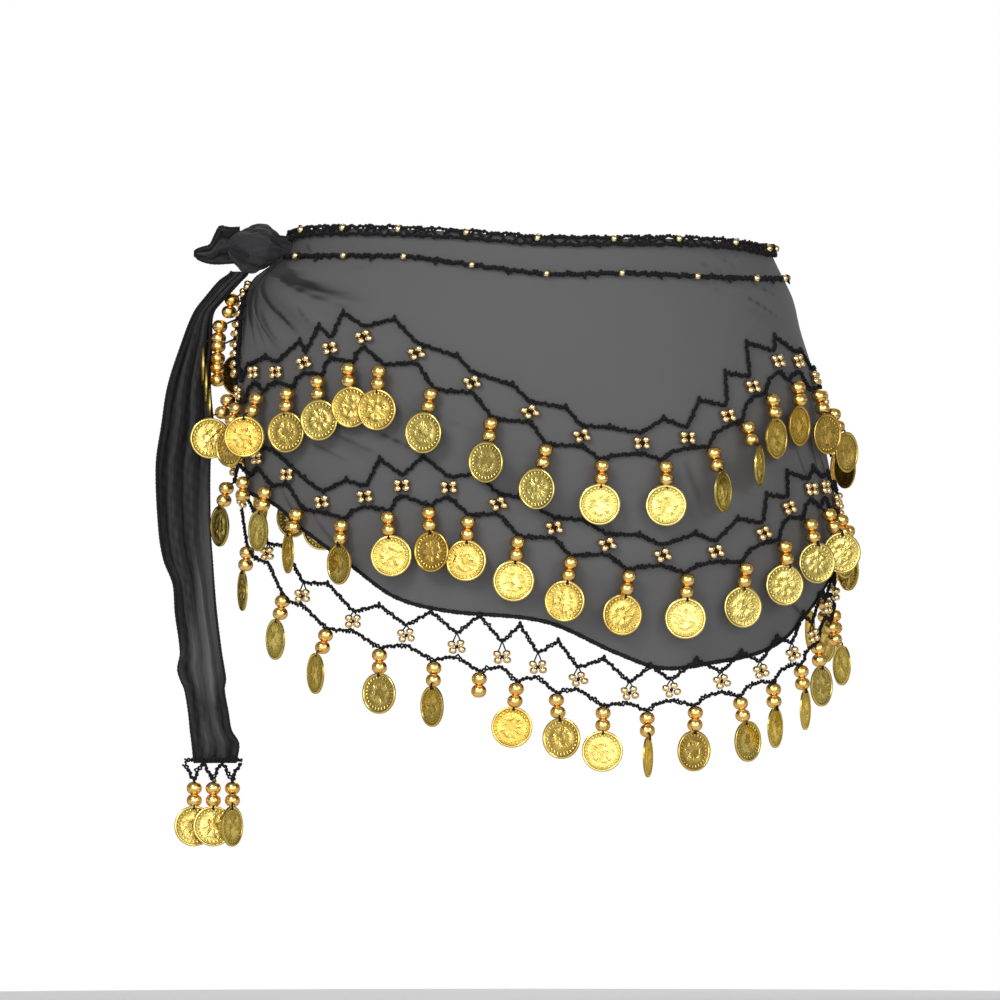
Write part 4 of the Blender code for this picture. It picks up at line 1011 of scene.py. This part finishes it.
class Trim:
    """Where everything on one row of trim is; places are angle and height, or for the short
    row on the tie end, metres across and up."""

    def __init__(self, name, place, per_metre, flowers, lean, links, lifts, valley, pitch,
                 tie_height=None):
        self.name, self.node = "trim_" + name, "coin_trim_" + name
        self.place, self.per_metre = place, per_metre
        self.pitch, self.hangs = pitch, bool(tie_height)
        self.has_flowers = pitch == 1.0
        self.flowers, self.lean = flowers, np.radians(lean)
        self.link_lean = (self.lean[1:] + self.lean[:-1]) / 2
        self.sway, self.lift = links.sway * MM, links.lift * MM
        self.has_coin = np.isfinite(links.turn)
        self.turn = np.radians(np.nan_to_num(links.turn))
        self.low, high = self.between(links.drop), self.between(links.peak)
        self.feet = self.moved(self.low, 0.0, -valley, self.link_lean)
        self.peaks = self.moved(high, 0.0, np.nan_to_num(links.rise) * MM, self.link_lean)
        if tie_height:
            self.peaks = np.stack([high[:, 0], tie_height(high[:, 0])], -1)
        self.drop_lift = lifts[0] + np.minimum(links.lift, BEAD_EXTRA_LIFT) * MM
        self.coin_out = COIN_RADIUS * np.abs(np.sin(self.turn))
        self.coin_lift = lifts[1] + self.lift + self.coin_out

    def between(self, share):
        """Places a share of the way from flower to flower, at their middle height."""
        before, after = self.flowers[:-1], self.flowers[1:]
        return np.stack([before[:, 0] + (after - before)[:, 0] * share,
                         (before[:, 1] + after[:, 1]) / 2], -1)

    def moved(self, places, sideways, up, lean=0.0):
        """The places that lie sideways and up from others, both turned by the lean."""
        across = sideways * np.cos(lean) + up * np.sin(lean)
        rise = up * np.cos(lean) - sideways * np.sin(lean)
        angle, height = places.T
        return np.stack([angle + across * self.per_metre(angle, height), height + rise], -1)

    def points(self, places, lift):
        return self.place(places[..., 0], places[..., 1], lift)

    def out(self, places):
        """Outward direction at places."""
        return unit(self.points(places, 10 * MM) - self.points(places, 0.0))

    def drop_points(self, depth, lift, sway=0.0):
        """Points at a depth below each foot, swayed sideways by a share of the coin's sway."""
        return self.points(self.moved(self.feet, self.sway * sway, -depth), lift)


def body_trim(row):
    start = row.front_angles[-1]
    back = start + (row.last - start) / row.back_flowers * np.arange(1, row.back_flowers + 1)
    angles = np.concatenate([row.front_angles, back])
    flowers = np.stack([angles, edge(row.edge, angles)], -1)
    column = np.array(row.column, float).reshape(-1, 3)
    flowers = np.concatenate([column[:, :2] * (1, MM), flowers])
    lean = np.concatenate([column[:, 2], 0 * angles])

    def place(angle, height, lift):
        return skin(angle, height, lift, edge(HEM, angle) if row.hangs else None)

    def per_metre(angle, height):
        step = place(angle + 0.5, height, 0.0) - place(angle - 0.5, height, 0.0)
        return 1 / np.linalg.norm(step, axis=-1)

    lifts = (TRIM_LIFT, TRIM_LIFT) if row.hangs else (6.4 * MM, 6.2 * MM)
    tie_height = (lambda angle: edge(HEM, angle) + HEM_TIE_RISE) if row.hangs else None
    return Trim(row.name, place, per_metre, flowers, lean, row.links, lifts, VALLEY_DROP, 1.0,
                tie_height)


def tail_trim():
    def place(across, height, lift):
        across, height, lift = np.broadcast_arrays(across, height, lift)
        return TAIL_TRIM_CENTRE + np.stack([across, -lift, height], -1)

    flowers = np.stack([TAIL_FLOWERS, 0 * TAIL_FLOWERS], -1)
    return Trim("tie_end", place, lambda across, height: 1.0, flowers, 0 * TAIL_FLOWERS,
                TAIL_LINKS, (TRIM_LIFT, TRIM_LIFT), TAIL_VALLEY_DROP, 0.5)


TRIMS = [body_trim(row) for row in ROWS] + [tail_trim()]
print({trim.name: (len(trim.flowers), "flowers", len(trim.feet), "drops") for trim in TRIMS})

# %% [markdown]
# Now the cords of each row. The upper cord runs over the flowers' tops and up to the peaks,
# where a small picot, a knot of a few stitches, sticks up. The lower cord runs flat under each
# flower, falls straight to the drop after it and comes up steeply again. On the lowest row the
# upper cord makes a V from the hem, and two thin threads join the V to its flower. The short
# row on the tie end has no beads between its drops, and both its cords run high there.

# %% Trim cords
PICOT = 2.6 * MM
OVER_FLOWER, UNDER_FLOWER, SHORT_ROW_HIGH = 5.8 * MM, 5.6 * MM, 2.4 * MM
V_SHARE, V_LEAST = 0.45, 5.4 * MM


def over_flowers(trim):
    """Places where the upper cord passes above the flowers."""
    rise = OVER_FLOWER * trim.pitch**0.4
    if trim.hangs:
        rise = np.maximum(V_SHARE * (edge(HEM, trim.flowers[:, 0]) - trim.flowers[:, 1]), V_LEAST)
    return trim.moved(trim.flowers, 0.0, rise, trim.lean)


def upper_keys(trim):
    """Over each flower, then straight to the peak after it."""
    keys = np.empty((2 * len(trim.flowers) - 1, 2))
    keys[0::2] = over_flowers(trim)
    keys[1::2] = trim.peaks
    return keys


def lower_keys(trim):
    """Under each flower, straight down to the drop, and up steeply to the next flower."""
    rise = -UNDER_FLOWER if trim.has_flowers else SHORT_ROW_HIGH
    low = trim.moved(trim.flowers, 0.0, rise, trim.lean)
    keys = np.empty((4 * len(low) - 3, 2))
    keys[0::4] = low
    keys[1::4] = low[:-1] * 0.45 + trim.feet * 0.55
    keys[2::4] = trim.feet
    keys[3::4] = trim.feet * (0.66, 0.36) + low[1:] * (0.34, 0.64)
    return keys


def picots(trim):
    """Short stubs of cord that stand on the peaks."""
    share = np.linspace(0, 1, 5)[None, :, None]
    foot = trim.points(trim.peaks, TRIM_LIFT)[:, None]
    tip = trim.points(trim.moved(trim.peaks, 0.0, PICOT, trim.link_lean), TRIM_LIFT)[:, None]
    radii = np.array([1.3, 1.0, 1.1, 0.9, 0.4]) * MM
    return tube(foot * (1 - share) + tip * share, np.repeat(trim.out(trim.peaks)[:, None], 5, 1),
                np.tile(radii, (len(foot), 1)))


def twin_threads(trim):
    """Two thin threads from the V of the upper cord to the two upper beads of its flower."""
    start = trim.points(over_flowers(trim), TRIM_LIFT)
    outs = np.repeat(trim.out(trim.flowers)[:, None], 4, 1)
    share = np.linspace(0, 1, 4)[None, :, None]
    parts = []
    for side in (-1, 1):
        corner = trim.moved(trim.flowers, side * 2.2 * MM, 2.6 * MM, trim.lean)
        end = trim.points(corner, TRIM_LIFT)
        parts.append(tube(start[:, None] * (1 - share) + end[:, None] * share, outs, 0.42 * MM, 5))
    return parts


def drop_threads(trim):
    """The thread of each drop, through both beads to a loop in front of the coin's hole."""
    depth = COIN_TOP_DEPTH + 2.2 * MM
    stops = [trim.points(trim.feet, TRIM_LIFT),
             trim.drop_points(BEAD_DEPTHS[0], trim.drop_lift, 0.05),
             trim.drop_points(BEAD_DEPTHS[1], trim.second_lift, 0.35),
             trim.drop_points(COIN_TOP_DEPTH - 0.8 * MM, trim.coin_lift + 0.3 * MM, 0.55),
             trim.drop_points(depth, trim.coin_lift + 0.7 * MM, 0.62)]
    path = np.stack(stops, 1)
    bare = path[~trim.has_coin][:, :3]
    full = path[trim.has_coin]
    outs = trim.out(trim.feet)[:, None]
    made = [tube(full, np.repeat(outs[trim.has_coin], 5, 1),
                 np.array([0.7, 0.5, 0.5, 0.5, 0.75]) * MM, 6)]
    if len(bare):
        made.append(tube(bare, np.repeat(outs[~trim.has_coin], 3, 1), 0.5 * MM, 6))
    return made


def flower_knots(trim):
    """The dark stitch in the middle of each flower, a lump that is 2 mm tall."""
    middle = trim.points(trim.flowers, TRIM_LIFT + 0.6 * MM)
    heights = np.array([-1.0, -0.5, 0.5, 1.0]) * MM
    path = middle[:, None] + heights[:, None] * (0.0, 0.0, 1.0)
    outs = np.repeat(trim.out(trim.flowers)[:, None], len(heights), 1)
    return tube(path, outs, np.array([0.5, 1.0, 1.0, 0.5]) * MM, 6)


def add_trim_cords(trim):
    trim.second_lift = trim.drop_lift + TURNED_COIN_PULL * trim.coin_out
    cords = [crochet(*key_path(trim.place, upper_keys(trim), TRIM_LIFT)),
             crochet(*key_path(trim.place, lower_keys(trim), TRIM_LIFT), loose=0.9),
             picots(trim), *drop_threads(trim)]
    if trim.hangs:
        cords += twin_threads(trim)
    if trim.has_flowers:
        cords.append(flower_knots(trim))
    add_piece(trim.name + "_cord", *join(*cords), cord_finish, "dark_cord")


for trim in TRIMS:
    add_trim_cords(trim)

# %% [markdown]
# Beads are turned shapes with a hole, so their section closes on itself and there is no pole:
# the outside is half an oval, and the last face runs back through the hole. They are gold
# plated plastic, smooth and bright, with a deeper orange where the light grazes them.

# %% Beads
def bead(half_wide, half_tall, hole, steps, sides):
    """Turned oval with a hole along z: radius goes from the hole out and back as a sine, and
    height down as a cosine."""
    t = np.linspace(0, np.pi, steps)
    radius = hole + (half_wide - hole) * np.sin(t)
    turn = np.linspace(0, 2 * np.pi, sides, endpoint=False)
    points = np.stack([radius[:, None] * np.cos(turn), radius[:, None] * np.sin(turn),
                       half_tall * np.cos(t)[:, None] + 0 * turn], -1)
    return points.reshape(-1, 3), [grid_quads(steps, sides, True, True)]


SMALL_BEAD = bead(2.3 * MM, 1.75 * MM, 0.5 * MM, 7, 8)
LARGE_BEAD = bead(4.25 * MM, 3.55 * MM, 0.7 * MM, 9, 14)


def gold_finish(name, bright, deep, roughness, tint):
    """Plated gold: cloudy between two tones, with a rubbed, slightly rougher bloom."""
    finish = new_finish(name, Metallic=1.0, Specular_Tint=(*tint, 1), Coat_Roughness=0.1)
    cloud = finish.noise(160.0, 3.0)
    finish.feed("Base Color", finish.mix((cloud * 2.2 - 0.6).clamped(), (*bright, 1), (*deep, 1)))
    finish.feed("Roughness", cloud * 0.14 + (roughness - 0.05))
    finish.bump(finish.noise(700.0, 2.0), 0.15, 0.1 * MM)
    return finish


large_gold = gold_finish("bead_gold", (1.0, 0.74, 0.30), (0.95, 0.58, 0.15), 0.22,
                         (0.62, 0.28, 0.05))
small_gold = gold_finish("seed_bead_gold", (1.0, 0.84, 0.52), (0.93, 0.68, 0.34), 0.18,
                         (0.9, 0.66, 0.36))


def axes_of(outs, turn=0.0, tilt=0.0):
    """Side, outward and up directions at places, turned about up and then tilted sideways."""
    side = unit(np.stack([-outs[:, 1], outs[:, 0], 0 * outs[:, 0]], -1))
    turn, tilt = (np.broadcast_to(a, len(outs))[:, None] for a in (turn, tilt))
    level = unit(np.stack([outs[:, 0], outs[:, 1], 0 * outs[:, 0]], -1))
    turned_side = side * np.cos(turn) + level * np.sin(turn)
    turned_out = level * np.cos(turn) - side * np.sin(turn)
    up = np.array([0.0, 0.0, 1.0])
    return np.stack([turned_side * np.cos(tilt) + up * np.sin(tilt), turned_out,
                     up * np.cos(tilt) - turned_side * np.sin(tilt)], 1)


def uneven(count, seed):
    """Even-handed scatter between -1 and 1, the same on each run."""
    return np.modf(np.sin(np.arange(1, count + 1) * 12.9898 + seed * 78.233) * 43758.5453)[0]


def flower_places(trim):
    """Centres of the four small beads of each flower, a square that is turned a little."""
    spin = 0.22 + 0.30 * uneven(len(trim.flowers), 1.0)
    corners = []
    for quarter in range(4):
        way = spin + np.pi / 4 + quarter * np.pi / 2
        size = MM * trim.pitch**0.4
        corner = trim.moved(trim.flowers, 3.55 * size * np.cos(way), 2.55 * size * np.sin(way),
                            trim.lean)
        corners.append(trim.points(corner, TRIM_LIFT + 0.9 * MM))
    return np.concatenate(corners), np.tile(trim.out(trim.flowers), (4, 1))


def add_flowers(trim):
    places, outs = flower_places(trim)
    seeds = scatter(*SMALL_BEAD, places, axes_of(outs, tilt=0.35 * uneven(len(places), 2.0)))
    add_piece(trim.name + "_small_beads", *seeds, small_gold, "gold", sharp=80)


def add_large_beads(trim):
    outs = trim.out(trim.feet)
    upper = trim.drop_points(BEAD_DEPTHS[0], trim.drop_lift, 0.05)
    lower = trim.drop_points(BEAD_DEPTHS[1], trim.second_lift, 0.35)
    tilt = np.arctan2(-trim.sway, 30 * MM)
    beads = join(scatter(*LARGE_BEAD, upper, axes_of(outs, tilt=0.5 * tilt)),
                 scatter(*LARGE_BEAD, lower, axes_of(outs, tilt=tilt)))
    add_piece(trim.name + "_large_beads", *beads, large_gold, "gold", trim.node, sharp=80)


def add_chain_beads():
    """The beads on both waist chains."""
    angle = np.concatenate([UPPER_BEADS, LOWER_BEADS])
    height = np.concatenate([edge(TOP_EDGE, UPPER_BEADS), edge(SECOND_CHAIN, LOWER_BEADS)])
    outs = outward(angle, height)
    beads = scatter(*SMALL_BEAD, skin(angle, height, CHAIN_LIFT + 0.9 * MM),
                    axes_of(outs, tilt=1.2 + 0.5 * uneven(len(angle), 5.0)))
    add_piece("waist_chain_beads", *beads, small_gold, "gold", sharp=80)


add_chain_beads()
for trim in TRIMS:
    if trim.has_flowers:
        add_flowers(trim)
    add_large_beads(trim)

# %% [markdown]
# The coins are thin stamped discs. Their design here is a plain one: a raised rim, a ring of
# pellets, and a worn rosette with a boss. The rim, the dish inside it and the petals are in the
# mesh, so they catch the light from any side. The pellets, the blurred stamping and the dark
# painted into the hollows, partly patina and partly painted shade of the darker reflections
# there, are in the finish, which reads a UV map laid out on the coin itself.

# %% Coins
COIN_THICK = 0.9 * MM
COIN_RINGS = np.array([0.0, 0.14, 0.22, 0.36, 0.50, 0.60, 0.66, 0.84, 0.90, 0.96, 1.0])
COIN_SECTORS = 32
PETALS = 8


def coin_relief(radius, turn):
    """Height of the stamped face: boss, petals, a dish, and the rim. Each is a smooth bump of
    the radius, the petals times a squared cosine round the coin."""
    boss = 0.30 * np.exp(-(radius / 0.16) ** 4)
    petals = 0.34 * np.exp(-((radius - 0.42) / 0.15) ** 4) * np.cos(PETALS / 2 * turn) ** 2
    ring = 0.12 * np.exp(-((radius - 0.66) / 0.04) ** 2)
    rim = 0.34 * np.exp(-((radius - 0.935) / 0.055) ** 4)
    return (boss + petals + ring + rim) * MM


def coin_shape():
    """Front and back faces joined at the edge, y outwards, z up, and the UV of each point."""
    turn = np.linspace(0, 2 * np.pi, COIN_SECTORS, endpoint=False)
    radius = np.concatenate([COIN_RINGS[1:], COIN_RINGS[:0:-1]])[:, None]
    front = np.repeat([1.0, -1.0], len(COIN_RINGS) - 1)[:, None]
    relief = coin_relief(radius, turn)
    y = front * (COIN_THICK / 2 + (relief - 0.25 * MM) * (radius < 0.99))
    flat = np.stack(np.broadcast_arrays(radius * np.sin(turn), radius * np.cos(turn)), -1)
    points = np.stack([flat[..., 0] * COIN_RADIUS, y + 0 * turn, flat[..., 1] * COIN_RADIUS], -1)
    faces = list(ring_faces(len(radius), COIN_SECTORS))
    return points.reshape(-1, 3), faces, flat.reshape(-1, 2)


def coin_finish():
    """Brass-coloured stamping with dark painted into its hollows, partly patina and partly painted
    shade. The radius and the direction on the coin come from its UV map."""
    finish = new_finish("stamped_gold", Metallic=1.0, Specular_Tint=(0.85, 0.68, 0.34, 1))
    uv = finish.node("TexCoord", output="UV")
    across = finish.node("SeparateXYZ", {}, {0: uv}, "X")
    up = finish.node("SeparateXYZ", {}, {0: uv}, "Y")
    radius = (across * across + up * up) ** 0.5
    turn = across.maths("ARCTAN2", across, up)
    band = lambda centre, width: (1 - ((radius - centre) / width) ** 2.0).clamped()
    pellets = band(0.77, 0.075) * (turn * 26.0).cosine().clamped()
    petals = band(0.42, 0.17) * ((turn * PETALS).cosine() * 0.5 + 0.5)
    veins = band(0.42, 0.14) * (turn * (PETALS * 3)).cosine().clamped() * 0.5
    rim = band(0.93, 0.06)
    worn = finish.noise(260.0, 4.0)
    blots = ((finish.noise(210.0, 3.0) - 0.5) * 9.0 + 0.5).clamped() * band(0.3, 0.42)
    scratched = finish.noise(1500.0, 3.0)
    relief = pellets + petals * 0.35 + veins * 0.5 + rim + blots * 0.9 + worn * 0.7
    patina_and_painted_shade = (1.0 - relief * 0.85 + (scratched - 0.5) * 0.6).clamped()
    tone = finish.mix(finish.attribute("tone").clamped(), (1.0, 0.80, 0.25, 1),
                      (0.92, 0.56, 0.11, 1))
    # Painted into the colour: the low parts go dark olive, partly patina and partly painted shade of
    # the darker reflections there.
    finish.feed("Base Color", finish.mix(patina_and_painted_shade * 0.8, tone, (0.22, 0.16, 0.015, 1)))
    finish.feed("Roughness", patina_and_painted_shade * 0.22 + 0.15)
    finish.bump(relief + scratched * 0.12, 0.9, 0.30 * MM)
    return finish


def add_coins(trim, finish):
    kept = trim.has_coin
    count = int(kept.sum())
    centre = trim.drop_points(COIN_TOP_DEPTH + COIN_RADIUS, trim.coin_lift, 1.0)[kept]
    axes = axes_of(trim.out(trim.feet), trim.turn, np.arctan2(-trim.sway, 24 * MM))[kept]
    points, faces, uv = coin_shape()
    coins = scatter(points, faces, centre, axes)
    spin = (uneven(count, 3.0) * 0.6)[:, None, None]
    turned = np.concatenate([uv[None, :, :1] * np.cos(spin) - uv[None, :, 1:] * np.sin(spin),
                             uv[None, :, :1] * np.sin(spin) + uv[None, :, 1:] * np.cos(spin)], -1)
    tone = np.repeat(np.clip(0.25 + 0.6 * uneven(count, 4.0), 0, 1), len(points))
    add_piece(trim.name + "_coins", *coins, finish, "gold", None, {"tone": tone}, turned, sharp=35)


stamped_gold = coin_finish()
for trim in TRIMS:
    add_coins(trim, stamped_gold)
print("coins:", sum(int(trim.has_coin.sum()) for trim in TRIMS))

# %% Size
print("pieces:", made_triangles, "in all", sum(made_triangles.values()))
